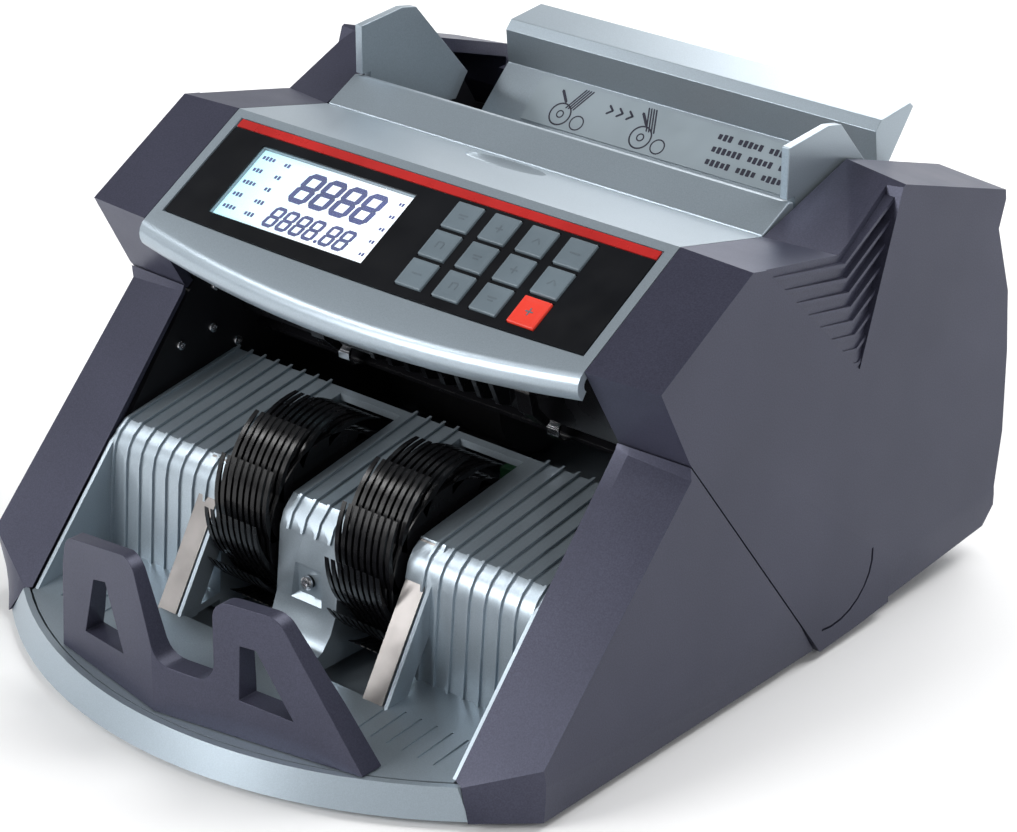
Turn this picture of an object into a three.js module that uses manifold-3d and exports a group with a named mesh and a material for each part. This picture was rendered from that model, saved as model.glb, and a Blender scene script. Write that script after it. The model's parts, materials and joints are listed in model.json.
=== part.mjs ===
// Banknote counting machine: an assembly of separate named solids.
// Millimetres. X is the width, Y runs from the front to the back, and Z is up.
// The inner group's frame has its zero at the front foot of the side arms, on the bottom of the case.
import * as THREE from "three";
import { mergeVertices } from "three/addons/utils/BufferGeometryUtils.js";
import Module from "manifold-3d";

const wasm = await Module();
wasm.setup();

// ---------------------------------------------------------------- driving dimensions
const HALF_WIDTH = 120; // to the outer face of a side cover
const INNER_HALF = 93; // to the inner face of a chassis plate
const WALL = 2.5; // moulded wall
const GAP = 0.3; // between pieces that touch
const PLATE = 2; // pressed steel chassis plate
const FOOT_PROUD = 2.5; // feet below the case
const FRONT_REACH = 49; // front lip ahead of the arms' feet
const BACK = 239.7; // rearmost point of the side covers
const SIDES = [-1, 1];

const LIP_RADIUS = 165; // front edge of the base, in plan
const LIP_CENTRE_Y = LIP_RADIUS - FRONT_REACH;
const LIP_HEIGHT = 9.4;
const LIP_LEAN = 4; // the lip's top edge stands back from its bottom edge
const LIP_HALF = 101; // half width of the lip along its bottom edge
const LIP_TAPER = 0.945; // its top edge is this much shorter
const FLOOR_BACK = [23, 12.6]; // (y, z) where the stacker floor meets the ribbed blocks

const PANEL_TOP = [92, 148.8]; // (y, z) of the console panel's upper edge
const PANEL_TILT = THREE.MathUtils.degToRad(29.5);
const PANEL_LENGTH = 52; // down the slope, at the sides
const PANEL_BOW = 9; // how much further it reaches at the middle
const PANEL_WALL = 3;
const NOSE_RADIUS = 5.5; // rounded front lip of the console
const CREASE = [134, 139]; // (y, z) of the valley behind the console's top plate
const MEMBRANE_BOW = 0.2; // share of the lip's bow that the membrane's lower edge has
const RECESS = 1; // depth of the panel's recess for its membrane

const KEY_COLUMNS = 4;
const KEY_ROWS = 3;
const KEY_SIZE = [10.6, 10.7];
const KEY_FLANGE = [12, 12]; // holds a key in, under the console's wall
const KEY_PITCH = [15.2, 12.4];
const FIRST_KEY = [16.8, 14]; // centre, across and down the slope
const KEY_TRAVEL = 0.6;
const KEY_PROUD = 0.6;

const SCREEN = [-72.7, -5, 11, 41.5]; // x from, x to, down the slope from, to

// Shafts all lie along X: (y, z) of each axis, and the radii of what turns on them.
const STACKER_AXIS = [50, 39];
const DELIVERY_AXIS = [124, 76];
const FEED_AXIS = [165, 96];
const PRESSURE_AXIS = [146, 112];
const MOTOR_AXIS = [178, 34];
const RAIL_AXIS = [157, 123];
const SHAFT_RADIUS = 4;
const WHEEL_RADIUS = 36;
const WHEEL_SPAN = [15, 38]; // |x| of a stacker wheel
const WHEEL_BLADES = 12;
const FEED_RADIUS = 16;
const FEED_SPAN = [18, 34];
const DELIVERY_RADIUS = 10.8;
const PRESSURE_RADIUS = 7.8;
const RAIL_RADIUS = 2.5;
const DRIVE_PULLEYS = { motor: 9, feed: 12, delivery: 10 }; // radii
const STACKER_PULLEYS = { delivery: 8, stacker: 18 };
const DRIVE_BELT_X = [-104, -98];
const STACKER_BELT_X = [-114, -109];
const BELT_THICKNESS = 1.5;

// Bands of |x| across the stacker shroud.
const BLOCK_SPAN = [40, INNER_HALF - GAP];
const MIDDLE_HALF = 13;
const BLOCK_RIBS = 8;
const RIB_HALF = 0.5;
const RIB_PROUD = 0.9;

const SOCKET_X = -55; // rear panel fittings
const PANEL_Y = [231, 233.5];

// ---------------------------------------------------------------- materials
const finish = (color, roughness, metalness = 0) =>
  new THREE.MeshStandardMaterial({ color, roughness, metalness });
const SHELL = finish(0x4b4b58, 0.42, 0.2);
const SILVER = finish(0xa0afb9, 0.38, 0.35);
const BLACK = finish(0x17181b, 0.5);
const MEMBRANE = finish(0x0b0c10, 0.3);
const KEY_GREY = finish(0x82909a, 0.5);
const KEY_RED = finish(0xdc3c2d, 0.45);
const TRIM_RED = finish(0xaa2d2d, 0.4);
const GLASS = finish(0xbfe6ee, 0.1);
const RUBBER = finish(0x202020, 0.9);
const TYRE = finish(0x6b3b2a, 0.85);
const STEEL = finish(0xb8bcc0, 0.3, 0.9);
const DARK_STEEL = finish(0x1d1e21, 0.5, 0.5);
const BOARD = finish(0x1f5b38, 0.6);
const PAPER = finish(0xc9d2d6, 0.6);

// ---------------------------------------------------------------- solids
// A closed three.js geometry as a solid that can be joined and cut.
function solidOf(geometry, matrix = new THREE.Matrix4()) {
  const source = geometry.index ? geometry.toNonIndexed() : geometry;
  const plain = new THREE.BufferGeometry();
  plain.setAttribute("position", source.getAttribute("position").clone());
  plain.applyMatrix4(matrix);
  const merged = mergeVertices(plain, 1e-4);
  return new wasm.Manifold(
    new wasm.Mesh({
      numProp: 3,
      vertProperties: new Float32Array(merged.attributes.position.array),
      triVerts: new Uint32Array(merged.index.array),
    }),
  );
}

function addMesh(parent, name, solid, material) {
  const made = solid.getMesh();
  const geometry = new THREE.BufferGeometry();
  const position = new THREE.BufferAttribute(new Float32Array(made.vertProperties), 3);
  geometry.setAttribute("position", position);
  geometry.setIndex(new THREE.BufferAttribute(new Uint32Array(made.triVerts), 1));
  const faceted = geometry.toNonIndexed();
  faceted.computeVertexNormals();
  const mesh = new THREE.Mesh(faceted, material);
  mesh.name = name;
  parent.add(mesh);
  return mesh;
}

function shapeOf(outline, holes = []) {
  const toPoints = (points) => points.map(([u, v]) => new THREE.Vector2(u, v));
  const shape = new THREE.Shape(toPoints(outline));
  for (const hole of holes) shape.holes.push(new THREE.Path(toPoints(hole)));
  return shape;
}

function extruded(outline, holes, length) {
  return new THREE.ExtrudeGeometry(shapeOf(outline, holes), { depth: length, bevelEnabled: false });
}

// A (y, z) outline swept along X.
function prismX(outline, x0, x1, holes = []) {
  const low = Math.min(x0, x1);
  const matrix = new THREE.Matrix4().set(0, 0, 1, low, 1, 0, 0, 0, 0, 1, 0, 0, 0, 0, 0, 1);
  return solidOf(extruded(outline, holes, Math.abs(x1 - x0)), matrix);
}

// An (x, z) outline swept along Y.
function prismY(outline, y0, y1, holes = []) {
  const matrix = new THREE.Matrix4().set(1, 0, 0, 0, 0, 0, -1, y1, 0, 1, 0, 0, 0, 0, 0, 1);
  return solidOf(extruded(outline, holes, y1 - y0), matrix);
}

// An (x, y) outline swept along Z.
function prismZ(outline, z0, z1, holes = []) {
  const matrix = new THREE.Matrix4().makeTranslation(0, 0, z0);
  return solidOf(extruded(outline, holes, z1 - z0), matrix);
}

function block(x0, x1, y0, y1, z0, z1) {
  const geometry = new THREE.BoxGeometry(Math.abs(x1 - x0), y1 - y0, z1 - z0);
  const centre = [(x0 + x1) / 2, (y0 + y1) / 2, (z0 + z1) / 2];
  return solidOf(geometry, new THREE.Matrix4().makeTranslation(...centre));
}

// A cylinder along X about the axis at (y, z).
function rod([y, z], radius, x0, x1, segments = 24) {
  const geometry = new THREE.CylinderGeometry(radius, radius, Math.abs(x1 - x0), segments);
  geometry.rotateZ(Math.PI / 2);
  return solidOf(geometry, new THREE.Matrix4().makeTranslation((x0 + x1) / 2, y, z));
}

function circle([u, v], radius, segments = 24) {
  const turn = (2 * Math.PI) / segments;
  return Array.from({ length: segments }, (_, i) => [
    u + radius * Math.cos(i * turn),
    v + radius * Math.sin(i * turn),
  ]);
}

// A solid through sections that follow each other along X, each a closed loop of [x, y, z] points.
function loft(sections) {
  const ordered = sections[0][0][0] < sections.at(-1)[0][0] ? sections : [...sections].reverse();
  const flat = (section) => section.map(([, y, z]) => new THREE.Vector2(y, z));
  const clockwise = THREE.ShapeUtils.isClockWise(flat(ordered[0]));
  const loops = clockwise ? ordered.map((section) => [...section].reverse()) : ordered;
  const count = loops[0].length;
  const index = [];
  for (let k = 0; k + 1 < loops.length; k++)
    for (let i = 0; i < count; i++) {
      const a = k * count + i;
      const b = k * count + ((i + 1) % count);
      index.push(a, b, b + count, a, b + count, a + count);
    }
  const last = (loops.length - 1) * count;
  for (const [a, b, c] of THREE.ShapeUtils.triangulateShape(flat(loops[0]), [])) index.push(a, c, b);
  for (const [a, b, c] of THREE.ShapeUtils.triangulateShape(flat(loops.at(-1)), []))
    index.push(last + a, last + b, last + c);
  const geometry = new THREE.BufferGeometry();
  geometry.setAttribute("position", new THREE.Float32BufferAttribute(loops.flat(2), 3));
  geometry.setIndex(index);
  return solidOf(geometry);
}

// The outline moved inwards, edge by edge; a negative distance moves that edge outwards.
// Edge i runs from point i to point i + 1.
function inset(outline, distance) {
  const distances = Array.isArray(distance) ? distance : outline.map(() => distance);
  const points = outline.map(([u, v]) => new THREE.Vector2(u, v));
  const turn = THREE.ShapeUtils.isClockWise(points) ? -1 : 1;
  const edges = points.map((from, i) => {
    const along = points[(i + 1) % points.length].clone().sub(from).normalize();
    const inward = new THREE.Vector2(-along.y, along.x).multiplyScalar(turn * distances[i]);
    return { from: from.clone().add(inward), along };
  });
  return edges.map((next, i) => {
    const before = edges[(i + edges.length - 1) % edges.length];
    const gap = next.from.clone().sub(before.from);
    const reach = gap.cross(next.along) / before.along.cross(next.along);
    const corner = before.from.clone().addScaledVector(before.along, reach);
    return [corner.x, corner.y];
  });
}

const joined = (solids) => solids.reduce((sum, solid) => sum.add(solid));
const cut = (solid, cutters) => cutters.reduce((left, cutter) => left.subtract(cutter), solid);
const arcY = (x, radius) => LIP_CENTRE_Y - Math.sqrt(radius ** 2 - x ** 2);
const steps = (from, to, count) =>
  Array.from({ length: count + 1 }, (_, i) => from + ((to - from) * i) / count);
const place = (x, outline) => outline.map(([y, z]) => [x, y, z]);
const sideName = (side) => (side < 0 ? "left" : "right");

const machine = new THREE.Group();
machine.position.set(0, (FRONT_REACH - BACK) / 2, FOOT_PROUD);

const panel = new THREE.Group();
panel.position.set(0, ...PANEL_TOP);
panel.rotation.x = PANEL_TILT;
panel.updateMatrix();
machine.add(panel);

// ---------------------------------------------------------------- base and feet
function buildBase() {
  const lip = loft(
    steps(-LIP_HALF, LIP_HALF, 24).map((x) => {
      const foot = arcY(x, LIP_RADIUS);
      const top = arcY(x * LIP_TAPER, LIP_RADIUS - LIP_LEAN);
      return [
        [x, foot, 0],
        [x, foot + WALL, 0],
        [x * LIP_TAPER, top + WALL, LIP_HEIGHT],
        [x * LIP_TAPER, top, LIP_HEIGHT],
      ];
    }),
  );
  const front = steps(-96, 96, 20).map((x) => [x, arcY(x, LIP_RADIUS - LIP_LEAN + 1)]);
  const plate = prismZ([...front, [90, 8], [90, 229], [-90, 229], [-90, 8]], 0, 3);
  const cheeks = SIDES.map((side) => block(side * 93.1, side * 95.6, -14.5, -6, 2, 6.5));
  addMesh(machine, "base_tray", joined([lip, plate, ...cheeks]), SILVER);
  for (const [end, y] of [["front", 0], ["rear", 215]])
    for (const side of SIDES) buildFoot(`foot_${end}_${sideName(side)}`, side * 78, y);
}

function buildFoot(name, x, y) {
  const profile = [
    [0, -FOOT_PROUD],
    [7.2, -FOOT_PROUD],
    [8, -FOOT_PROUD + 0.8],
    [8, -GAP],
    [0, -GAP],
  ].map(([r, z]) => new THREE.Vector2(r, z));
  const geometry = new THREE.LatheGeometry(profile, 20).rotateX(Math.PI / 2);
  addMesh(machine, name, solidOf(geometry, new THREE.Matrix4().makeTranslation(x, y, 0)), RUBBER);
}

// ---------------------------------------------------------------- arms and side covers
const SEAM_TOP = [64, 95];
const SEAM_FOOT = [136.6, 0];

// The strip along the foot of a side face leans in: the wedge that it loses, between two y.
const SKIRT_LEAN = 2;
const skirtCut = (side, y0, y1, height) => {
  const wedge = [[HALF_WIDTH - SKIRT_LEAN, 0], [HALF_WIDTH, height], [HALF_WIDTH + 1, height], [HALF_WIDTH + 1, -1],
    [HALF_WIDTH - SKIRT_LEAN, -1]];
  return prismY(wedge.map(([x, z]) => [side * x, z]), y0, y1);
};

// A closed loop of points with its edges divided, edge i into counts[i].
const divided = (loop, counts) =>
  loop.flatMap((from, i) => {
    const to = loop[(i + 1) % loop.length];
    return steps(0, 1, counts[i]).slice(0, -1).map((share) => between(from, to, share));
  });
const between = (from, to, share) => from.map((value, i) => THREE.MathUtils.lerp(value, to[i], share));

// An arm's front face twists between its inner edge and its outer one. Behind that face, the arm stands
// clear of the chassis plate, so only a thin flange reaches the case's inside.
function buildArm(side) {
  const flange = INNER_HALF + 0.1;
  const inside = INNER_HALF + PLATE + GAP;
  const inner = [
    [LIP_HALF + GAP, -15.6, 0], [INNER_HALF + 3, -12.6, 9], [flange, -11.8, 10], [flange, 62, 92],
    [flange, 63, 94], [flange, 135.6, 0.4],
  ];
  const outer = [[1.2, 0], [-3, 19.8], [-2.4, 20.4], [65, 89], [64.5, 93.6], [135.6, 0.4]];
  const counts = [3, 1, 8, 1, 1, 1];
  const edges = [inner, place(HALF_WIDTH, outer)].map((loop) => divided(loop, counts));
  const shell = loft(
    steps(0, 1, 6).map((share) =>
      edges[0].map((from, i) => {
        const [x, y, z] = between(from, edges[1][i], share);
        return [side * x, y, z];
      }),
    ),
  );
  const hollow = inset(outer, [3, 3, WALL + 1, WALL, -4, -4]);
  const deep = HALF_WIDTH - SKIRT_LEAN - WALL;
  const behind = [[-11, 8], [63.3, 90.8], [64.2, 96], [140, 96], [140, -1], [-11, -1]];
  const cutters = [
    prismX(hollow, side * 80, side * deep),
    skirtCut(side, -20, 138, 14.5),
    prismX(behind, side * 80, side * inside),
    block(side * 80, side * (inside + 0.6), -30, 140, -1, 8.9),
  ];
  addMesh(machine, `${sideName(side)}_arm`, cut(shell, cutters), SHELL);
}

const COVER_OUTER = [
  SEAM_TOP, [49.3, 122.8], [92.8, 147.5], [141.3, 137], [172, 152], [231.5, 132.5], [232, 129],
  [228.7, 119.5], [237, 95], [239.2, 72], [BACK, 42], [236.8, 22], [237.8, 14.4], [233, 7.8],
  [158, 1], SEAM_FOOT,
];
const COVER_INNER = [
  [63, 94.8], [46.7, 123.2], [92, 148.8], CREASE, [177.7, 152.3], [231.6, 134.8], [232, 129],
  [228.7, 119.5], [237, 95], [239.2, 72], [BACK, 42], [236.8, 22], [237.8, 14.4], [233, 7.8],
  [158, 1], SEAM_FOOT,
];
const VENT = { front: [96, 146.5], valley: [141.3, 137], back: [172, 152], tip: [151.4, 95.7] };
const VENT_DEPTH = 6;
const VENT_SLATS = 8;

// How deep the vent's floor lies under the cover's face: nothing along its front edge.
function ventDepth([y, z]) {
  const along = new THREE.Vector2(VENT.tip[0] - VENT.front[0], VENT.tip[1] - VENT.front[1]);
  const fromFront = (point) =>
    Math.abs(along.cross(new THREE.Vector2(point[0] - VENT.front[0], point[1] - VENT.front[1])));
  return 0.5 + (VENT_DEPTH * fromFront([y, z])) / fromFront(VENT.back);
}

// A wedge between two depths below the vent's face, over a (y, z) outline.
function ventWedge(side, outline, above, below) {
  const at = (point, extra) => [side * (HALF_WIDTH - ventDepth(point) - extra), ...point];
  return loft([outline.map((p) => at(p, below)), outline.map((p) => at(p, above))]);
}

function ventPrism(side, outline) {
  const outside = place(side * (HALF_WIDTH + 2), outline);
  return loft([outline.map((p) => [side * (HALF_WIDTH - ventDepth(p)), ...p]), outside]);
}

// The way from the cover's inside into the arm's, across the seam.
function seamSlot() {
  const top = new THREE.Vector2(...SEAM_TOP);
  const along = new THREE.Vector2(...SEAM_FOOT).sub(top).normalize();
  const across = new THREE.Vector2(-along.y, along.x).multiplyScalar(2 * WALL);
  const ends = [WALL, 112].map((reach) => top.clone().addScaledVector(along, reach));
  const corner = (end, sign) => [end.x + sign * across.x, end.y + sign * across.y];
  return [corner(ends[0], 1), corner(ends[0], -1), corner(ends[1], -1), corner(ends[1], 1)];
}

// A shallow curved groove in the cover's face, over its snap latch.
function latchGroove(side) {
  const arc = (radius) => steps(-1.85, 0.12, 8).map((turn) => [
    143 + radius * Math.cos(turn), 25 + radius * 0.84 * Math.sin(turn),
  ]);
  return prismX([...arc(21.8), ...arc(20.8).reverse()], side * (HALF_WIDTH - 0.8), side * (HALF_WIDTH + 1));
}

function buildCover(side) {
  const shell = loft([place(side * (INNER_HALF + GAP), COVER_INNER), place(side * HALF_WIDTH, COVER_OUTER)]);
  const inside = [side * 80, side * (HALF_WIDTH - SKIRT_LEAN - WALL)];
  const hollows = [inset(COVER_OUTER, WALL), seamSlot()].map((outline) => prismX(outline, ...inside));
  const lifted = ([y, z], up) => [y, z + up];
  const triangle = [VENT.front, VENT.valley, VENT.back, VENT.tip];
  const mouth = [lifted(VENT.front, 3), lifted(VENT.valley, 3), lifted(VENT.back, 3), VENT.tip];
  const backing = ventWedge(side, inset(triangle, 0.6), 0.2, WALL);
  const slats = steps(0, VENT_SLATS - 1, VENT_SLATS - 1).map((k) => {
    const share = (k + 0.5) / VENT_SLATS;
    const drop = (point) => [
      THREE.MathUtils.lerp(point[0], VENT.tip[0], share),
      THREE.MathUtils.lerp(point[1], VENT.tip[1], share),
    ];
    const bar = [VENT.front, VENT.valley, VENT.back].map(drop);
    const outline = [...bar, ...bar.map((p) => lifted(p, -1.3)).reverse()];
    return loft([
      outline.map((p) => [side * (HALF_WIDTH - ventDepth(p) - 1.5), ...p]),
      outline.map((p) => [side * (HALF_WIDTH - 0.4 * ventDepth(p)), ...p]),
    ]);
  });
  const cutters = [ventPrism(side, mouth), skirtCut(side, 175, 245, 19), latchGroove(side)];
  const cover = cut(joined([cut(shell, hollows), backing]), cutters);
  addMesh(machine, `${sideName(side)}_side_cover`, joined([cover, ...slats]), SHELL);
}

// ---------------------------------------------------------------- chassis
const PLATE_OUTLINE = [
  [-4, 3.3], [-5.5, 6.5], [64.5, 90.5], [68.5, 95], [57, 117], [61, 122], [140, 129], [205, 129],
  [212, 118], [226, 112], [228, 100], [228, 12], [134, 10], [127, 3.3],
];

function buildChassisPlate(side) {
  const bores = [STACKER_AXIS, DELIVERY_AXIS, FEED_AXIS].map((axis) => circle(axis, SHAFT_RADIUS + GAP));
  bores.push(circle(PRESSURE_AXIS, 3 + GAP));
  if (side < 0) bores.push(circle(MOTOR_AXIS, 3 + GAP));
  const inner = side * INNER_HALF;
  const plate = prismX(PLATE_OUTLINE, inner, inner + side * PLATE, bores);
  const ledge = block(inner, inner + side * PLATE, 60, 80, 3.2, 4);
  addMesh(machine, `${sideName(side)}_chassis_plate`, plate.add(ledge), DARK_STEEL);
}

function buildRail() {
  const end = INNER_HALF - GAP;
  addMesh(machine, "guide_rail", rod(RAIL_AXIS, RAIL_RADIUS, -end, end, 16), STEEL);
}

// ---------------------------------------------------------------- console
const slope = (down, out) => [
  PANEL_TOP[0] - down * Math.cos(PANEL_TILT) - out * Math.sin(PANEL_TILT),
  PANEL_TOP[1] - down * Math.sin(PANEL_TILT) + out * Math.cos(PANEL_TILT),
];
const bow = (x) => PANEL_BOW * (1 - (x / INNER_HALF) ** 2);

function consoleSection(x) {
  const end = PANEL_LENGTH + bow(x);
  const centre = slope(end, -NOSE_RADIUS);
  const start = Math.PI / 2 + PANEL_TILT;
  const nose = (radius, turns) =>
    turns.map((turn) => [
      centre[0] + radius * Math.cos(start + turn),
      centre[1] + radius * Math.sin(start + turn),
    ]);
  const turns = steps(0, THREE.MathUtils.degToRad(115), 6);
  const inside = nose(NOSE_RADIUS - PANEL_WALL, [...turns].reverse());
  return place(x, [
    [CREASE[0], CREASE[1]],
    PANEL_TOP,
    ...nose(NOSE_RADIUS, turns),
    ...inside,
    [PANEL_TOP[0] + 0.3, PANEL_TOP[1] - PANEL_WALL * 1.06],
    [CREASE[0], CREASE[1] - PANEL_WALL],
  ]);
}

// Solids given in the panel's own frame, moved onto its slope.
const onPanel = (geometry, x, down, out) =>
  solidOf(
    geometry,
    panel.matrix.clone().multiply(new THREE.Matrix4().makeTranslation(x, -down, out)),
  );

const keyPlaces = [];
for (let row = 0; row < KEY_ROWS; row++)
  for (let column = 0; column < KEY_COLUMNS; column++)
    keyPlaces.push({
      name: `key_${row + 1}_${column + 1}`,
      x: FIRST_KEY[0] + column * KEY_PITCH[0],
      down: FIRST_KEY[1] + row * KEY_PITCH[1],
      red: row === KEY_ROWS - 1 && column === KEY_COLUMNS - 1,
    });
const KEY_HOLE = KEY_SIZE.map((size) => size + 2 * GAP);

// The membrane's outline, with its lower edge bowed like the console's lip.
function membraneOutline(top, shrink) {
  const half = 89 - shrink;
  const lower = steps(-half, half, 12).map((x) => [x, -(46.6 + MEMBRANE_BOW * bow(x) - shrink)]);
  return [[half, -top], [-half, -top], ...lower];
}

// A shallow dip in the top plate, with a slit along its front edge for the finger tips.
function fingerScoop() {
  const bowl = ([x, y, z], ...radii) =>
    solidOf(new THREE.SphereGeometry(1, 24, 12).scale(...radii), new THREE.Matrix4().makeTranslation(x, y, z));
  return [bowl([-6, 127, 140.9], 17, 7, 2.6), bowl([-9, 123.6, 140], 12, 1.6, 7)];
}

function buildConsole() {
  const shell = loft(steps(-INNER_HALF, INNER_HALF, 14).map(consoleSection));
  const pocket = extruded(membraneOutline(3.2, -GAP), [], 5);
  const screenSize = [SCREEN[1] - SCREEN[0], SCREEN[3] - SCREEN[2]];
  const screenAt = [(SCREEN[0] + SCREEN[1]) / 2, (SCREEN[2] + SCREEN[3]) / 2];
  const screenHole = onPanel(new THREE.BoxGeometry(...screenSize, 12), ...screenAt, 0);
  const keyHoles = keyPlaces.map(({ x, down }) =>
    onPanel(new THREE.BoxGeometry(...KEY_HOLE, 12), x, down, 0),
  );
  const cutters = [onPanel(pocket, 0, 0, -RECESS), screenHole, ...keyHoles, ...fingerScoop()];
  addMesh(machine, "console_housing", cut(shell, cutters), SILVER);
  buildPanelPieces(screenSize, screenAt);
}

function rectangle([width, height], [u, v]) {
  return [
    [u - width / 2, v - height / 2],
    [u + width / 2, v - height / 2],
    [u + width / 2, v + height / 2],
    [u - width / 2, v + height / 2],
  ];
}

function buildPanelPieces(screenSize, screenAt) {
  const skin = RECESS - GAP - 0.1;
  const at = (out) => new THREE.Matrix4().makeTranslation(0, 0, out);
  const through = (size, x, down) =>
    solidOf(new THREE.BoxGeometry(...size, 12), new THREE.Matrix4().makeTranslation(x, -down, 0));
  const holes = keyPlaces.map(({ x, down }) => through(KEY_HOLE, x, down));
  const sheet = solidOf(extruded(membraneOutline(7.2, GAP), [], skin), at(GAP - RECESS));
  const overlay = cut(sheet, [through(screenSize, ...screenAt), ...holes]);
  addMesh(panel, "keypad_overlay", overlay, MEMBRANE);
  const stripe = extruded(rectangle([177, 3.3], [0, -5.15]), [], skin);
  addMesh(panel, "red_trim_stripe", solidOf(stripe, at(GAP - RECESS)), TRIM_RED);
  const pane = rectangle(screenSize.map((s) => s - 2 * GAP), [screenAt[0], -screenAt[1]]);
  addMesh(panel, "lcd_window", solidOf(extruded(pane, [], 1), at(-1.2)), GLASS);
  const lcd = rectangle(screenSize.map((s) => s - 0.8), [screenAt[0], -screenAt[1]]);
  addMesh(panel, "lcd_module", solidOf(extruded(lcd, [], 4), at(-5.6)), PAPER);
  const board = rectangle([66, 40], [40, -26.5]);
  addMesh(panel, "keypad_board", solidOf(extruded(board, [], 1.4), at(-8.6)), BOARD);
  for (const key of keyPlaces) buildKey(key);
}

function buildKey({ name, x, down, red }) {
  const flange = rectangle(KEY_FLANGE, [0, 0]);
  const cap = extruded(rectangle(KEY_SIZE, [0, 0]), [], 5 + KEY_PROUD);
  const skirt = extruded(flange, [], 1);
  const solid = solidOf(cap, new THREE.Matrix4().makeTranslation(0, 0, -5)).add(
    solidOf(skirt, new THREE.Matrix4().makeTranslation(0, 0, -5 - KEY_TRAVEL)),
  );
  const mesh = addMesh(panel, name, solid, red ? KEY_RED : KEY_GREY);
  mesh.position.set(x, -down, 0);
}

// ---------------------------------------------------------------- stacker
const BLOCK_PROFILE = [
  [22.6, 10.6], [25.4, 45], [26.6, 49.6], [29, 53.2], [33, 56], [40, 57.2], [85, 64],
];

// A hollow block over a band of x, open below and at the back, from its outer (y, z) profile.
function hood(profile, x0, x1, wall) {
  const foot = [profile.at(-1)[0], 6];
  const outline = [...profile, foot, [profile[0][0], 6]];
  const edges = outline.map((_, i) => (i < profile.length - 1 || i === outline.length - 1 ? wall : -3));
  const hollow = prismX(inset(outline, edges), x0 + wall, x1 - wall);
  return prismX(outline, x0, x1).subtract(hollow);
}

// A thin rib round the front and over the top of a block.
function blockRib(profile, x) {
  const { length } = profile;
  const back = [[85, 40], [40, 40], [30, 12]];
  const proud = inset([...profile, ...back], -RIB_PROUD).slice(0, length);
  const sunk = inset([...profile, ...back], 1.5).slice(0, length).reverse();
  return prismX([...proud, ...sunk], x - RIB_HALF, x + RIB_HALF);
}

const GUARD_WIDTH = 10.8;

// A sloping guard strip beside a wheel slot, with a thin rail along its right edge.
function guardStrip(x0) {
  const strip = [[4, 8.5], [8.5, 8.5], [36, 53], [33, 56.4]];
  const rail = [[3, 8.5], [8.5, 8.5], [36, 53], [32.4, 56.9]];
  const floor = [[8, 8.5], [12, 8.5], [38, 52], [35, 54]];
  return joined([
    prismX(strip, x0, x0 + 8.2),
    prismX(floor, x0, x0 + GUARD_WIDTH),
    prismX(rail, x0 + 9.4, x0 + GUARD_WIDTH),
  ]);
}

// Fills the corner between a block and the arm beside it.
function sideCheek(side) {
  const panel = [[-11.2, 9.2], [25.6, 50.2], [33, 55.6], [34, 40], [26, 12.8], [22, 9.2]];
  return prismX(panel, side * (INNER_HALF - 1.8), side * (INNER_HALF - GAP));
}

const MIDDLE_PROFILE = [
  [4, 9.2], [10, 10], [15.5, 12.6], [19.4, 17], [22, 23], [24.5, 46], [26.4, 50.6], [31, 55], [85, 64],
];

function buildShroud() {
  const pieces = [];
  for (const side of SIDES) {
    const [near, far] = BLOCK_SPAN;
    const edges = [side * near, side * far].sort((a, b) => a - b);
    pieces.push(hood(BLOCK_PROFILE, ...edges, 2.2));
    for (const x of steps(near + 7.5, far - 2, BLOCK_RIBS - 1)) pieces.push(blockRib(BLOCK_PROFILE, side * x));
    pieces.push(guardStrip(side > 0 ? near + 0.01 : -near - 0.01 - GUARD_WIDTH), sideCheek(side));
  }
  pieces.push(hood(MIDDLE_PROFILE, -MIDDLE_HALF, MIDDLE_HALF, 2.2));
  const shoulder = MIDDLE_PROFILE.slice(5);
  for (const x of steps(-9, 9, 3)) pieces.push(blockRib(shoulder, x));
  pieces.push(prismX([[82, 61], [85, 61.4], [85, 64], [82, 63.5]], -BLOCK_SPAN[1], BLOCK_SPAN[1]));
  pieces.push(stackerFloor());
  const bore = rod(STACKER_AXIS, 6.5, -120, 120);
  const recess = new THREE.CylinderGeometry(7, 13, 5, 4).rotateY(Math.PI / 4);
  const recessAt = new THREE.Matrix4().makeTranslation(0, 21.6, 30);
  const screw = prismY(circle([0, 30], 2.2, 16), 20, 30);
  const shroud = cut(joined(pieces), [bore, solidOf(recess, recessAt), screw]);
  addMesh(machine, "stacker_shroud", shroud, SILVER);
}

function stackerFloor() {
  const half = INNER_HALF - GAP;
  const radius = LIP_RADIUS - LIP_LEAN - WALL - GAP;
  const front = steps(-half, half, 16).map((x) => [x, arcY(x, radius)]);
  const plan = prismZ([...front, [half, 26], [-half, 26]], 0, 20);
  const side = [[-60, 7], [-60, LIP_HEIGHT], [-12, LIP_HEIGHT], FLOOR_BACK, [26, 12.8], [26, 10.4], [-12, 7]];
  const slots = SIDES.map((s) => block(s * (MIDDLE_HALF + 0.02), s * (BLOCK_SPAN[0] - 0.02), 6, 40, 0, 30));
  const grooves = [];
  for (const s of SIDES)
    for (const x of steps(50, 82, 5)) grooves.push(block(s * x - 0.5, s * x + 0.5, -9, 7, 8, 30));
  const plate = plan.intersect(prismX(side, -half, half));
  return cut(plate, [...slots, ...grooves.map((groove) => groove.intersect(floorSkin()))]);
}

// The top half millimetre of the floor, which the drain grooves are cut in.
function floorSkin() {
  const [y, z] = FLOOR_BACK;
  const outline = [[-12, LIP_HEIGHT - 0.5], [y, z - 0.5], [y, z + 5], [-12, LIP_HEIGHT + 5]];
  return prismX(outline, -HALF_WIDTH, HALF_WIDTH);
}

// Two flat halves meet at a crease, set a little to the left of the valley between the two fingers.
const STOP_CREASE = [-5, -41.2]; // (x, y) of its front face
const STOP_SLOPES = { left: 0.2, right: 0.174 };

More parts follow.
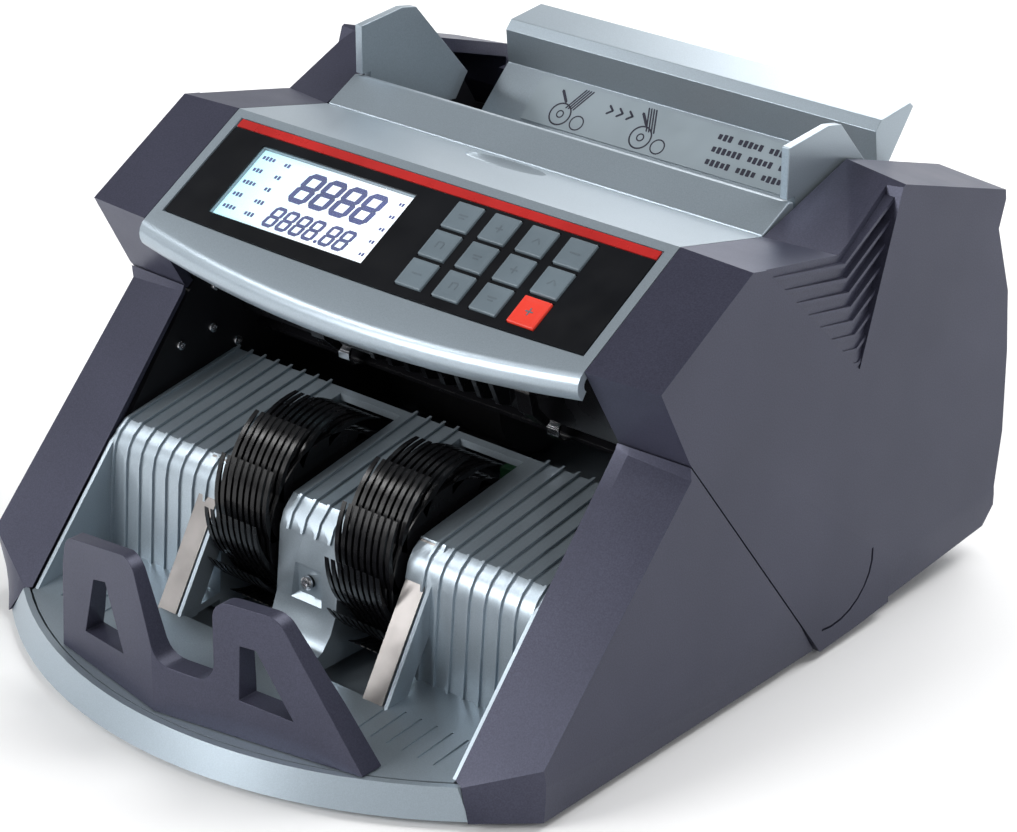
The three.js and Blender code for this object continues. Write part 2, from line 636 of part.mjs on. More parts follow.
function buildFrontStop() {
  const foot = LIP_HEIGHT + GAP;
  const section = [[0, foot], [0, 62], [4.4, 62], [7.6, 27], [8.4, foot]];
  const at = (x) => {
    const away = x - STOP_CREASE[0];
    const back = away < 0 ? -away * STOP_SLOPES.left : away * STOP_SLOPES.right;
    return place(x, section.map(([y, z]) => [STOP_CREASE[1] + back + y, z]));
  };
  const band = loft([at(-75), at(STOP_CREASE[0]), at(90)]);
  const corner = ([x, z], radius, from, to) =>
    steps(from, to, 5).map((turn) => [x + radius * Math.cos(turn), z + radius * Math.sin(turn)]);
  const up = Math.PI / 2;
  const face = [
    [-57.4, 9], [-54.6, 40], ...corner([-46.2, 44.8], 7, 2.9, up + 0.25), ...corner([-18.4, 51.6], 6.6, up, 0.2),
    ...corner([2.2, 33.6], 7, Math.PI + 0.2, 1.5 * Math.PI), ...corner([11.2, 33.2], 7, -up, -0.07),
    ...corner([24.6, 49.2], 6.2, Math.PI - 0.1, up), ...corner([38.2, 48.4], 7, up, 0.5), [70.5, 10], [70.5, 9],
  ];
  const leftHole = [[-36.4, 42], [-29.6, 44], [-21, 22.6], [-43, 20.8]];
  const rightHole = [[28, 42], [33.8, 42], [46.5, 21.4], [27, 23]];
  const cutter = prismY(face, -60, 10).subtract(prismY(leftHole, -61, 11)).subtract(prismY(rightHole, -61, 11));
  addMesh(machine, "front_stop", band.intersect(cutter), SHELL);
}

// ---------------------------------------------------------------- hopper
function buildHopper() {
  const half = INNER_HALF - GAP;
  const front = [
    [134.4, 139.2], [148, 146], [150.6, 145.4], [151.5, 122], [149.3, 122], [148, 142.6], [134.4, 135.8],
  ];
  addMesh(machine, "hopper_front_plate", prismX(front, -half, half), SILVER);
  const bed = [
    [198.4, 118.4], [176, 111.2], [150, 102.6], [96, 70.2], [96.8, 68.4], [150.6, 100.6], [176.6, 109.2],
    [199, 116.4],
  ];
  const openings = SIDES.flatMap((s) => [
    block(s * (FEED_SPAN[0] - 1), s * (FEED_SPAN[1] + 1), 146, 184, 80, 130),
    block(s * 18, s * 34, 106, 134, 50, 100),
    block(s * 52, s * 68, 106, 134, 50, 100),
  ]);
  addMesh(machine, "hopper_bed", cut(prismX(bed, -half, half), openings), BLACK);
  buildTray();
  for (const side of SIDES) buildGuide(side);
}

function buildTray() {
  const section = [
    [199.6, 121], [214.8, 135.6], [213.5, 148], [216.5, 151.2], [233, 152.7], [235, 151], [222, 135],
    [220, 133.6], [201.9, 117.6],
  ];
  const hollow = [
    [217.4, 126], [217, 137.4], [215.9, 147], [217.8, 148.9], [230.9, 150.2], [220, 136.6], [219.6, 126],
  ];
  const tray = prismX(section, -80, 80).subtract(prismX(hollow, -77.5, 77.5));
  addMesh(machine, "hopper_rear_tray", tray, SILVER);
  const along = new THREE.Vector2(214.8 - 199.6, 135.6 - 121).normalize();
  const raised = (distance, up) => [
    199.6 + along.x * distance - along.y * up,
    121 + along.y * distance + along.x * up,
  ];
  const label = [raised(1.5, GAP), raised(19.5, GAP), raised(19.5, 0.7), raised(1.5, 0.7)];
  addMesh(machine, "hopper_label", prismX(label.reverse(), -62, 72), PAPER);
}

function buildGuide(side) {
  const sheet = [
    [152.2, 118], [152.2, 146.6], [148, 146.6], [148, 164], [169, 165.5], [176, 164], [185.5, 153],
    [203, 133], [196.5, 124.4], [163, 128], [163, 118],
  ];
  const bore = circle(RAIL_AXIS, RAIL_RADIUS + GAP, 16);
  const outside = side * (INNER_HALF - 1);
  const wing = prismX(sheet, outside, outside - side * 3, [bore]);
  const foot = [[152.2, 118], [163, 118], [163, 128], [152.2, 128]];
  const guide = wing.add(prismX(foot, outside, outside - side * 11, [bore]));
  addMesh(machine, `hopper_guide_${sideName(side)}`, guide, SILVER);
}

// ---------------------------------------------------------------- note path
function buildNoteGuide() {
  const half = INNER_HALF - GAP;
  const section = [
    [134, 99.2], [94, 75.2], [90, 76.6], [86, 104], [88.2, 104.3], [91.8, 78.6], [94, 77.6], [133, 101],
  ];
  const rib = [[90, 77], [86.2, 102], [80, 102], [80.5, 88], [84.5, 79]];
  const ribs = steps(-27, 27, 7).map((x) => prismX(rib, x - 1, x + 1));
  const hook = [[86.3, 103.9], [86.5, 101], [78, 100], [75, 92], [77, 84], [84, 77.6], [86, 79], [80, 86],
    [78.6, 92], [81, 97], [87, 98]];
  const hooks = SIDES.map((s) => prismX(hook, s * 45 - 3, s * 45 + 3));
  addMesh(machine, "note_guide_plate", joined([prismX(section, -half, half), ...ribs, ...hooks]), BLACK);
}

// Twelve curved blades round a hub, all trailing as the wheel's front moves down.
function wheelOutline() {
  const turn = (2 * Math.PI) / WHEEL_BLADES;
  const points = [];
  for (let i = 0; i < WHEEL_BLADES; i++) {
    const at = (share, lead) => {
      const radius = THREE.MathUtils.lerp(19, WHEEL_RADIUS, share);
      const angle = -(i * turn + lead + share * 1.25 * turn);
      return [
        STACKER_AXIS[0] + radius * Math.cos(angle),
        STACKER_AXIS[1] + radius * Math.sin(angle),
      ];
    };
    points.push(...steps(0, 1, 3).map((s) => at(s, 0.06)));
    points.push(...steps(1, 0.05, 3).map((s) => at(s, 0.06 + 0.18 * turn + 0.3 * turn * (1 - s))));
  }
  return points;
}

function buildStackerWheels() {
  for (const side of SIDES) {
    const bore = circle(STACKER_AXIS, SHAFT_RADIUS + GAP, 20);
    const wheel = prismX(wheelOutline(), side * WHEEL_SPAN[0], side * WHEEL_SPAN[1], [bore]);
    addMesh(machine, `stacker_wheel_${sideName(side)}`, wheel, BLACK);
  }
  const end = INNER_HALF + PLATE + 1;
  addMesh(machine, "stacker_shaft", rod(STACKER_AXIS, SHAFT_RADIUS, STACKER_BELT_X[0], end, 20), STEEL);
  const pulley = rod(STACKER_AXIS, STACKER_PULLEYS.stacker, ...STACKER_BELT_X, 32);
  const bore = rod(STACKER_AXIS, SHAFT_RADIUS + GAP, -120, -100, 20);
  addMesh(machine, "stacker_pulley", pulley.subtract(bore), BLACK);
}

function buildRollers() {
  const end = INNER_HALF + PLATE + 1;
  const feedPulley = rod(FEED_AXIS, DRIVE_PULLEYS.feed, ...DRIVE_BELT_X, 28);
  const feedShaft = rod(FEED_AXIS, SHAFT_RADIUS, DRIVE_BELT_X[0], end, 20);
  addMesh(machine, "feed_shaft", feedShaft.add(feedPulley), STEEL);
  for (const side of SIDES) {
    const bore = circle(FEED_AXIS, SHAFT_RADIUS + GAP, 20);
    const tyre = prismX(circle(FEED_AXIS, FEED_RADIUS, 32), side * FEED_SPAN[0], side * FEED_SPAN[1], [bore]);
    addMesh(machine, `feed_tyre_${sideName(side)}`, tyre, TYRE);
  }
  const delivery = [
    rod(DELIVERY_AXIS, SHAFT_RADIUS, STACKER_BELT_X[0], end, 20),
    rod(DELIVERY_AXIS, DRIVE_PULLEYS.delivery, ...DRIVE_BELT_X, 28),
    rod(DELIVERY_AXIS, STACKER_PULLEYS.delivery, ...STACKER_BELT_X, 24),
    ...SIDES.flatMap((s) => [
      rod(DELIVERY_AXIS, DELIVERY_RADIUS, s * 20, s * 32, 28),
      rod(DELIVERY_AXIS, DELIVERY_RADIUS, s * 54, s * 66, 28),
    ]),
  ];
  addMesh(machine, "delivery_roller", joined(delivery), STEEL);
  const pressure = [rod(PRESSURE_AXIS, 3, -end, end, 16)];
  for (const s of SIDES) pressure.push(rod(PRESSURE_AXIS, PRESSURE_RADIUS, s * 20, s * 32, 24));
  addMesh(machine, "pressure_roller", joined(pressure), TYRE);
}

// ---------------------------------------------------------------- drive
// The loop of a belt round pulleys, each given as its axis and its radius.
function beltLoop(pulleys, clearance) {
  const points = pulleys.flatMap(([axis, radius]) => circle(axis, radius + clearance, 32));
  points.sort((a, b) => a[0] - b[0] || a[1] - b[1]);
  const turnsRight = (a, b, c) => (b[0] - a[0]) * (c[1] - a[1]) - (b[1] - a[1]) * (c[0] - a[0]) <= 1e-9;
  const chain = (list) => {
    const hull = [];
    for (const point of list) {
      while (hull.length > 1 && turnsRight(hull.at(-2), hull.at(-1), point)) hull.pop();
      hull.push(point);
    }
    return hull.slice(0, -1);
  };
  return [...chain(points), ...chain([...points].reverse())];
}

function buildBelt(name, pulleys, [x0, x1]) {
  const outline = beltLoop(pulleys, GAP + BELT_THICKNESS);
  const hole = beltLoop(pulleys, GAP);
  addMesh(machine, name, prismX(outline, x0 + 0.5, x1 - 0.5, [hole]), RUBBER);
}

function buildDrive() {
  const motorEnd = -85;
  const shaft = rod(MOTOR_AXIS, 3, motorEnd - GAP, DRIVE_BELT_X[0], 16);
  const pulley = rod(MOTOR_AXIS, DRIVE_PULLEYS.motor, ...DRIVE_BELT_X, 24);
  addMesh(machine, "motor_pulley", shaft.add(pulley), STEEL);
  const can = rod(MOTOR_AXIS, 24, motorEnd, -32, 32).add(rod(MOTOR_AXIS, 9, -32, -28, 20));
  const legs = block(-78, -40, 163, 193, 3.3, 22);
  addMesh(machine, "motor", can.add(legs), DARK_STEEL);
  buildBelt(
    "drive_belt",
    [
      [MOTOR_AXIS, DRIVE_PULLEYS.motor],
      [FEED_AXIS, DRIVE_PULLEYS.feed],
      [DELIVERY_AXIS, DRIVE_PULLEYS.delivery],
    ],
    DRIVE_BELT_X,
  );
  buildBelt(
    "stacker_belt",
    [
      [DELIVERY_AXIS, STACKER_PULLEYS.delivery],
      [STACKER_AXIS, STACKER_PULLEYS.stacker],
    ],
    STACKER_BELT_X,
  );
}

function buildElectronics() {
  const core = block(22, 78, 168, 208, 3.3, 46);
  const windings = block(30, 70, 162, 214, 9, 40);
  addMesh(machine, "transformer", core.add(windings), DARK_STEEL);
  const board = block(-20, 84, 100, 156, 7, 8.6);
  const capacitors = [40, 56].map((x) => prismZ(circle([x, 138], 6, 16), 8, 26));
  const sink = block(-8, 20, 126, 132, 8, 30);
  const posts = [-14, 78].flatMap((x) => [105, 151].map((y) => block(x - 2, x + 2, y - 2, y + 2, 3.3, 8)));
  addMesh(machine, "main_board", joined([board, sink, ...capacitors, ...posts]), BOARD);
}

// ---------------------------------------------------------------- rear panel
const INLET = { x: SOCKET_X, z: 32, width: 48, height: 30 };
const SWITCH = { x: SOCKET_X - 12.5, half: 6, radius: 11 };
const FUSE = [-8, 32];
const JACK = [20, 30];
const KNOB = [0, 104];

function rearPlate(outline, holes) {
  return prismY(outline, ...PANEL_Y, holes);
}

function buildRearPanel() {
  const half = INNER_HALF - GAP - 0.2;
  const outline = [[-half, 3.3], [half, 3.3], [half, 128], [-half, 128]];
  const holes = [
    rectangle([INLET.width - 4, INLET.height - 4], [INLET.x, INLET.z]),
    circle(FUSE, 6.5, 20),
    rectangle([13, 11], JACK),
    circle(KNOB, 3.3, 16),
  ];
  const deck = block(-half, half, 224, PANEL_Y[1], 128 - WALL, 128);
  addMesh(machine, "rear_panel", rearPlate(outline, holes).add(deck), SHELL);
  buildInlet();
  const fuse = prismY(circle(FUSE, 6.2, 20), 212, PANEL_Y[1] + 1);
  const cap = prismY(circle(FUSE, 7.5, 20), PANEL_Y[1] + GAP, PANEL_Y[1] + 4);
  addMesh(machine, "fuse_holder", fuse.add(cap), BLACK);
  const jack = prismY(rectangle([12.4, 10.4], JACK), 218, PANEL_Y[1] + 0.4);
  const mouth = block(JACK[0] - 4.5, JACK[0] + 4.5, 222, 240, JACK[1] - 3.2, JACK[1] + 3.2);
  addMesh(machine, "display_jack", jack.subtract(mouth), BLACK);
  const stem = prismY(circle(KNOB, 3, 16), 222, PANEL_Y[1] + 1);
  const grip = prismY(knurl(KNOB, 9, 0.6, 18), PANEL_Y[1] + GAP, BACK - 1.2);
  addMesh(machine, "gap_adjust_knob", stem.add(grip), BLACK);
}

// A round outline with shallow flutes.
function knurl([u, v], radius, depth, flutes) {
  const turn = Math.PI / flutes;
  return Array.from({ length: 2 * flutes }, (_, i) => {
    const reach = radius - (i % 2) * depth;
    return [u + reach * Math.cos(i * turn), v + reach * Math.sin(i * turn)];
  });
}

function buildInlet() {
  const { x, z, width, height } = INLET;
  const back = PANEL_Y[1];
  const body = block(x - width / 2 + 2.4, x + width / 2 - 2.4, 208, back + 1, z - 12.6, z + 12.6);
  const flange = block(x - width / 2, x + width / 2, back + GAP, back + 2.6, z - height / 2, z + height / 2);
  const socketX = x + 9.5;
  const mouth = block(socketX - 12, socketX + 10, 216, 250, z - 8.5, z + 8.5);
  const pins = [[-7, 0], [-1, 3], [5, 0]].map(([dx, dz]) =>
    block(socketX + dx - 1, socketX + dx + 1, 214, 231, z + dz - 2, z + dz + 2),
  );
  const well = block(SWITCH.x - SWITCH.half - GAP, SWITCH.x + SWITCH.half + GAP, 215, 250, z - 12, z + 12);
  const module = cut(body.add(flange), [mouth, well]);
  addMesh(machine, "power_inlet", joined([module, ...pins]), BLACK);
  buildSwitch(z);
}

// The rocker is a shallow V seen from the side, and tips about an axis along X.
function buildSwitch(z) {
  const pivotY = PANEL_Y[1] - 6;
  const face = [
    [pivotY - 5, -7], [pivotY + 6.4, -9.8], [pivotY + 9.2, -9], [pivotY + 7, 0],
    [pivotY + 5.6, 9.8], [pivotY + 3.6, 9.8], [pivotY - 5, 7],
  ].map(([y, up]) => [y, z + up]);
  const rocker = prismX(face, SWITCH.x - SWITCH.half, SWITCH.x + SWITCH.half);
  addMesh(machine, "power_rocker", rocker, BLACK);
}

buildBase();
for (const side of SIDES) {
  buildArm(side);
  buildCover(side);
  buildChassisPlate(side);
}
buildRail();
buildConsole();
buildShroud();
buildFrontStop();
buildHopper();
buildNoteGuide();
buildStackerWheels();
buildRollers();
buildDrive();
buildElectronics();
buildRearPanel();

const root = new THREE.Group();
root.add(machine);
export default root;
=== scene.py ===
"""Looks of the banknote counting machine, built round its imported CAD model.

Pieces are made in millimetres, each in a local frame, and set down in metres by a placing matrix.
"""
import json
import math

import bmesh
import bpy
from mathutils import Matrix, Vector


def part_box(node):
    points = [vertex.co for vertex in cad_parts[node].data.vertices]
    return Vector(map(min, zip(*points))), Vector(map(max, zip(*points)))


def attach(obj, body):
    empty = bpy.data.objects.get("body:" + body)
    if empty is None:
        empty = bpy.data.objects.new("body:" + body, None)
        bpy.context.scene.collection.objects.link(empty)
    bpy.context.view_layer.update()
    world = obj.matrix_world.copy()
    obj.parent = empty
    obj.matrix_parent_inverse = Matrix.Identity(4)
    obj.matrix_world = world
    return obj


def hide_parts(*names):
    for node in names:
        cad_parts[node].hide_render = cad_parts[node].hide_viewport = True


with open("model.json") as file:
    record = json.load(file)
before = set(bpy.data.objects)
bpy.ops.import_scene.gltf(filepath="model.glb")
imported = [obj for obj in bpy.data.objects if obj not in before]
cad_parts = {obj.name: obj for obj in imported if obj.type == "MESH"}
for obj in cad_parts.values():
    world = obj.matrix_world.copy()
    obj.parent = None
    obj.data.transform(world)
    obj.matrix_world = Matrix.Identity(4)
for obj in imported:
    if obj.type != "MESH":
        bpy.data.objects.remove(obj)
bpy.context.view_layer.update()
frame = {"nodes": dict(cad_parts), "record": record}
nodes = frame["nodes"]
record = frame["record"]

MM = 0.001
SIDES = {"left": -1, "right": 1}


def low(name):
    """A node's lowest corner, in millimetres."""
    return Vector(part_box(name)[0]) / MM


def high(name):
    """A node's highest corner, in millimetres."""
    return Vector(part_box(name)[1]) / MM


def middle(name):
    """The middle of a node's box, in millimetres."""
    return (low(name) + high(name)) / 2


def joint(name):
    """A joint of the record, by name."""
    return next(j for j in record["behaviour"]["joints"] if j["name"] == name)


# ---------------------------------------------------------------- camera, lights and floor
CAMERA_AZIMUTH = math.radians(40.53)
CAMERA_ELEVATION = math.radians(25.41)
CAMERA_DISTANCE = 1.0962
CAMERA_TARGET = Vector((0.0078, 0.0169, 0.0614))
CAMERA_LENS = 116.96
SENSOR_WIDTH = 36


FLOOR_REACH = 6  # metres
FLOOR_DROP = 0.0002  # below the feet, in metres
FLOOR_GREY = 0.93
STUDIO_STRENGTH = 0.6
STUDIO_HEIGHTS = (0.35, 0.8)  # Z of a direction, where the studio starts and ends to darken
STUDIO_GREYS = (1.0, 0.22)
LIGHTS = {  # location, power and side
    "top_light": ((0.35, 0.95, 1.6), 30, 1.3),
    "front_light": ((-0.6, -1.45, 0.75), 19, 0.7),
    "back_light": ((-0.6, 1.4, 0.8), 7, 0.7),
    "side_light": ((1.5, -0.55, 1.05), 3, 0.25),
    "shoulder_light": ((-0.9, -0.66, 1.05), 3, 0.2),
}


def add_camera():
    """The photo's camera, as fitted to the machine."""
    back = Vector((
        math.sin(CAMERA_AZIMUTH) * math.cos(CAMERA_ELEVATION),
        -math.cos(CAMERA_AZIMUTH) * math.cos(CAMERA_ELEVATION),
        math.sin(CAMERA_ELEVATION),
    ))
    data = bpy.data.cameras.new("camera")
    data.lens = CAMERA_LENS
    data.sensor_width = SENSOR_WIDTH
    camera = bpy.data.objects.new("camera", data)
    camera.location = CAMERA_TARGET + back * CAMERA_DISTANCE
    camera.rotation_mode = "QUATERNION"
    camera.rotation_quaternion = (-back).to_track_quat("-Z", "Y")
    bpy.context.scene.collection.objects.link(camera)
    bpy.context.scene.camera = camera


def add_light(name, location, energy, size):
    """A square lamp that faces the origin; metres and watts."""
    data = bpy.data.lights.new(name, "AREA")
    data.energy = energy
    data.size = size
    light = bpy.data.objects.new(name, data)
    light.location = location
    light.rotation_mode = "QUATERNION"
    light.rotation_quaternion = (-Vector(location)).to_track_quat("-Z", "Y")
    bpy.context.scene.collection.objects.link(light)


def studio_world():
    """A studio that is white round the horizon and dark overhead."""
    world = bpy.data.worlds.new("studio")
    world.use_nodes = True
    tree = world.node_tree
    background = tree.nodes["Background"]
    background.inputs["Strength"].default_value = STUDIO_STRENGTH
    coords = tree.nodes.new("ShaderNodeTexCoord")
    split = tree.nodes.new("ShaderNodeSeparateXYZ")
    sky = tree.nodes.new("ShaderNodeValToRGB")
    for element, height, grey in zip(sky.color_ramp.elements, STUDIO_HEIGHTS, STUDIO_GREYS):
        element.position = height
        element.color = (grey * 0.96, grey * 0.98, grey, 1)
    tree.links.new(coords.outputs["Generated"], split.inputs["Vector"])
    tree.links.new(split.outputs["Z"], sky.inputs["Fac"])
    tree.links.new(sky.outputs["Color"], background.inputs["Color"])
    return world


def add_stage():
    """A pale floor under the feet, the lamps and the studio round them."""
    mesh = bpy.data.meshes.new("floor")
    signs = ((-1, -1), (1, -1), (1, 1), (-1, 1))
    corners = [(x * FLOOR_REACH, y * FLOOR_REACH, -FLOOR_DROP) for x, y in signs]
    mesh.from_pydata(corners, [], [(0, 1, 2, 3)])
    floor = bpy.data.objects.new("floor", mesh)
    bpy.context.scene.collection.objects.link(floor)
    material = bpy.data.materials.new("floor_white")
    material.use_nodes = True
    shader = material.node_tree.nodes["Principled BSDF"]
    shader.inputs["Base Color"].default_value = (FLOOR_GREY, FLOOR_GREY, FLOOR_GREY, 1)
    shader.inputs["Roughness"].default_value = 0.8
    mesh.materials.append(material)
    bpy.context.scene.world = studio_world()
    bpy.context.scene.view_settings.view_transform = "Standard"
    for name, (location, power, side) in LIGHTS.items():
        add_light(name, location, power, side)


# ---------------------------------------------------------------- materials
def node_of(tree, kind, **values):
    """A new node of a tree, with some of its inputs set."""
    made = tree.nodes.new(kind)
    for name, value in values.items():
        made.inputs[name].default_value = value
    return made


def noise(tree, size, detail, stretch=(1, 1, 1)):
    """Noise in the object's own space, whose features are about `size` millimetres across."""
    coords = tree.nodes.new("ShaderNodeTexCoord")
    mapping = node_of(tree, "ShaderNodeMapping", Scale=stretch)
    made = node_of(tree, "ShaderNodeTexNoise", Scale=1 / (size * MM), Detail=detail)
    tree.links.new(coords.outputs["Object"], mapping.inputs["Vector"])
    tree.links.new(mapping.outputs["Vector"], made.inputs["Vector"])
    return made.outputs["Fac"]


def ramp(tree, source, colours, span):
    """Two colours blended over a span of the source."""
    made = tree.nodes.new("ShaderNodeValToRGB")
    for element, place, colour in zip(made.color_ramp.elements, span, colours):
        element.position = place
        element.color = (*colour, 1)
    tree.links.new(source, made.inputs["Fac"])
    return made.outputs["Color"]


def ranged(tree, source, start, end):
    """The middle of a noise spread over a range of values."""
    made = tree.nodes.new("ShaderNodeMapRange")
    made.inputs["From Min"].default_value = 0.3
    made.inputs["From Max"].default_value = 0.7
    made.inputs["To Min"].default_value = start
    made.inputs["To Max"].default_value = end
    tree.links.new(source, made.inputs["Value"])
    return made.outputs["Result"]


def finish(name, colour, roughness, metallic=0.0, tint=0.08, patch=30, flake=0.0, grain=0.5, depth=0.01,
           spread=0.06, stretch=(1, 1, 1), **sockets):
    """A finish with colour patches, a fine grain or flake, and a roughness that wanders.

    Patch and grain are sizes in millimetres, and depth is the height of the grain's bumps.
    """
    material = bpy.data.materials.new(name)
    material.use_nodes = True
    tree = material.node_tree
    shader = tree.nodes["Principled BSDF"]
    shader.inputs["Metallic"].default_value = metallic
    for socket, value in sockets.items():
        shader.inputs[socket.replace("_", " ")].default_value = value
    dark = [channel * (1 - tint) for channel in colour]
    light = [channel * (1 + tint) for channel in colour]
    base = ramp(tree, noise(tree, patch, 3), (dark, light), (0.35, 0.65))
    fine = noise(tree, grain, 2, stretch)
    if flake:
        speck = ramp(tree, fine, ([1 - flake] * 3, [1 + flake] * 3), (0.35, 0.68))
        mix = tree.nodes.new("ShaderNodeMix")
        mix.data_type = "RGBA"
        mix.blend_type = "MULTIPLY"
        mix.inputs["Factor"].default_value = 1
        tree.links.new(base, mix.inputs["A"])
        tree.links.new(speck, mix.inputs["B"])
        base = mix.outputs["Result"]
    tree.links.new(base, shader.inputs["Base Color"])
    wander = ranged(tree, noise(tree, patch / 3, 4, stretch), roughness - spread, roughness + spread)
    tree.links.new(wander, shader.inputs["Roughness"])
    bump = node_of(tree, "ShaderNodeBump", Strength=0.6, Distance=depth * MM)
    tree.links.new(fine, bump.inputs["Height"])
    tree.links.new(bump.outputs["Normal"], shader.inputs["Normal"])
    return material


def screen_finish():
    """The lit screen: cyan at its left end, white towards the right."""
    material = finish("lcd_backlight", (0.7, 0.9, 0.96), 0.35, tint=0.02, grain=0.25, depth=0.004)
    tree = material.node_tree
    shader = tree.nodes["Principled BSDF"]
    coords = tree.nodes.new("ShaderNodeTexCoord")
    split = tree.nodes.new("ShaderNodeSeparateXYZ")
    tree.links.new(coords.outputs["Object"], split.inputs["Vector"])
    span = tree.nodes.new("ShaderNodeMapRange")
    span.inputs["From Min"].default_value = low("lcd_module").x * MM
    span.inputs["From Max"].default_value = high("lcd_module").x * MM
    tree.links.new(split.outputs["X"], span.inputs["Value"])
    glow = ramp(tree, span.outputs["Result"], ((0.45, 0.80, 0.90), (0.90, 0.95, 1.0)), (0.0, 0.6))
    tree.links.new(glow, shader.inputs["Base Color"])
    tree.links.new(glow, shader.inputs["Emission Color"])
    shader.inputs["Emission Strength"].default_value = 0.42
    return material


def make_finishes():
    """One finish for each of the record's material slots, and four for details."""
    return {
        "shell": finish(
            "shell", (0.042, 0.0425, 0.066), 0.38, 0.3, patch=60, flake=0.16, depth=0.005, spread=0.025,
            Specular_IOR_Level=0.4, Specular_Tint=(0.82, 0.87, 1, 1)),
        "silver_plastic": finish(
            "silver_plastic", (0.345, 0.405, 0.455), 0.32, 0.6, tint=0.03, patch=90, flake=0.06, grain=0.4,
            depth=0.002, spread=0.015),
        "black_plastic": finish(
            "black_plastic", (0.005, 0.005, 0.006), 0.26, tint=0.2, depth=0.008, Specular_IOR_Level=0.3),
        "membrane": finish(
            "membrane", (0.0045, 0.005, 0.0065), 0.36, tint=0.15, grain=0.3, depth=0.003,
            Specular_IOR_Level=0.2),
        "trim_red": finish("trim_red", (0.46, 0.020, 0.018), 0.3, 0.2, tint=0.12, depth=0.006),
        "key_grey": finish("key_grey", (0.12, 0.155, 0.18), 0.42, 0.1, tint=0.1, grain=0.3, depth=0.012),
        "key_red": finish("key_red", (0.68, 0.04, 0.022), 0.4, tint=0.1, grain=0.3, depth=0.012),
        "lcd_glass": finish("lcd_glass", (0.8, 0.95, 1.0), 0.08, spread=0.02, depth=0.001, Alpha=0.06),
        "lcd": screen_finish(),
        "rubber": finish("rubber", (0.014, 0.014, 0.014), 0.75, tint=0.25, grain=0.35, depth=0.03),
        "feed_rubber": finish("feed_rubber", (0.13, 0.045, 0.025), 0.7, tint=0.2, grain=0.4, depth=0.03),
        "steel": finish(
            "steel", (0.5, 0.5, 0.52), 0.22, 1.0, tint=0.06, grain=0.3, depth=0.004, stretch=(0.04, 1, 1)),
        "dark_steel": finish(
            "dark_steel", (0.008, 0.008, 0.010), 0.42, tint=0.2, grain=0.4, depth=0.01,
            Specular_IOR_Level=0.25),
        "motor_steel": finish("motor_steel", (0.06, 0.06, 0.066), 0.42, 0.8, tint=0.15, depth=0.01),
        "board": finish("board", (0.018, 0.10, 0.04), 0.4, tint=0.2, grain=0.8, depth=0.02),
        "label": finish("label", (0.33, 0.39, 0.43), 0.34, 0.35, tint=0.05, grain=0.3, depth=0.004),
        "guard_steel": finish(
            "guard_steel", (0.19, 0.18, 0.175), 0.3, 0.9, tint=0.12, patch=12, grain=0.8, depth=0.0005,
            spread=0.02),
        "print_dark": finish("print_dark", (0.012, 0.012, 0.03), 0.5, tint=0.2, grain=0.2, depth=0.004),
        "segment_blue": finish(
            "segment_blue", (0.016, 0.016, 0.17), 0.4, tint=0.15, grain=0.2, depth=0.002),
        "key_print": finish("key_print", (0.095, 0.12, 0.14), 0.5, tint=0.15, grain=0.2, depth=0.004),
    }


add_camera()
add_stage()
FINISHES = make_finishes()


# ---------------------------------------------------------------- geometry nodes for shading
def new_group(name):
    """An empty geometry tree with its two end nodes."""
    tree = bpy.data.node_groups.new(name, "GeometryNodeTree")
    tree.interface.new_socket("Geometry", in_out="INPUT", socket_type="NodeSocketGeometry")
    tree.interface.new_socket("Geometry", in_out="OUTPUT", socket_type="NodeSocketGeometry")
    return tree, tree.nodes.new("NodeGroupInput"), tree.nodes.new("NodeGroupOutput")


def welded_group():
    """Drops stored normals, joins split corners and shades smooth."""
    tree, start, end = new_group("welded")
    drop = node_of(tree, "GeometryNodeRemoveAttribute", Name="custom_normal")
    weld = node_of(tree, "GeometryNodeMergeByDistance", Distance=1e-6)
    smooth = tree.nodes.new("GeometryNodeSetShadeSmooth")
    tree.links.new(start.outputs[0], drop.inputs["Geometry"])
    tree.links.new(drop.outputs[0], weld.inputs["Geometry"])
    tree.links.new(weld.outputs[0], smooth.inputs["Geometry"])
    tree.links.new(smooth.outputs[0], end.inputs[0])
    return tree


def sharp_edges(tree, degrees):
    """Picks the edges whose faces meet at more than an angle."""
    angle = tree.nodes.new("GeometryNodeInputMeshEdgeAngle")
    over = tree.nodes.new("FunctionNodeCompare")
    over.data_type = "FLOAT"
    over.operation = "GREATER_THAN"
    over.inputs["B"].default_value = math.radians(degrees)
    tree.links.new(angle.outputs["Unsigned Angle"], over.inputs["A"])
    return over.outputs["Result"]


def by_angle_group(degrees):
    """Draws edges sharper than an angle sharp, and the rest smooth."""
    tree, start, end = new_group("smooth_by_angle")
    face = tree.nodes.new("GeometryNodeSetShadeSmooth")
    edge = tree.nodes.new("GeometryNodeSetShadeSmooth")
    edge.domain = "EDGE"
    edge.inputs["Shade Smooth"].default_value = False
    tree.links.new(start.outputs[0], face.inputs["Geometry"])
    tree.links.new(face.outputs[0], edge.inputs["Geometry"])
    tree.links.new(sharp_edges(tree, degrees), edge.inputs["Selection"])
    tree.links.new(edge.outputs[0], end.inputs[0])
    return tree


SHARP_ABOVE = 35  # degrees between two faces
ROUNDED_ABOVE = 25
MERGED_BELOW = 0.6
WELDED = welded_group()
BY_ANGLE = by_angle_group(SHARP_ABOVE)


def round_edges(piece, width):
    """Rounds the sharp edges by a width in millimetres, or less where there is no room."""
    bevel = piece.modifiers.new("bevel", "BEVEL")
    bevel.width = width * MM
    bevel.segments = 3
    bevel.limit_method = "ANGLE"
    bevel.angle_limit = math.radians(ROUNDED_ABOVE)
    bevel.use_clamp_overlap = True
    bevel.harden_normals = True
    bevel.miter_outer = "MITER_ARC"
    piece.modifiers.new("by_angle", "NODES").node_group = BY_ANGLE


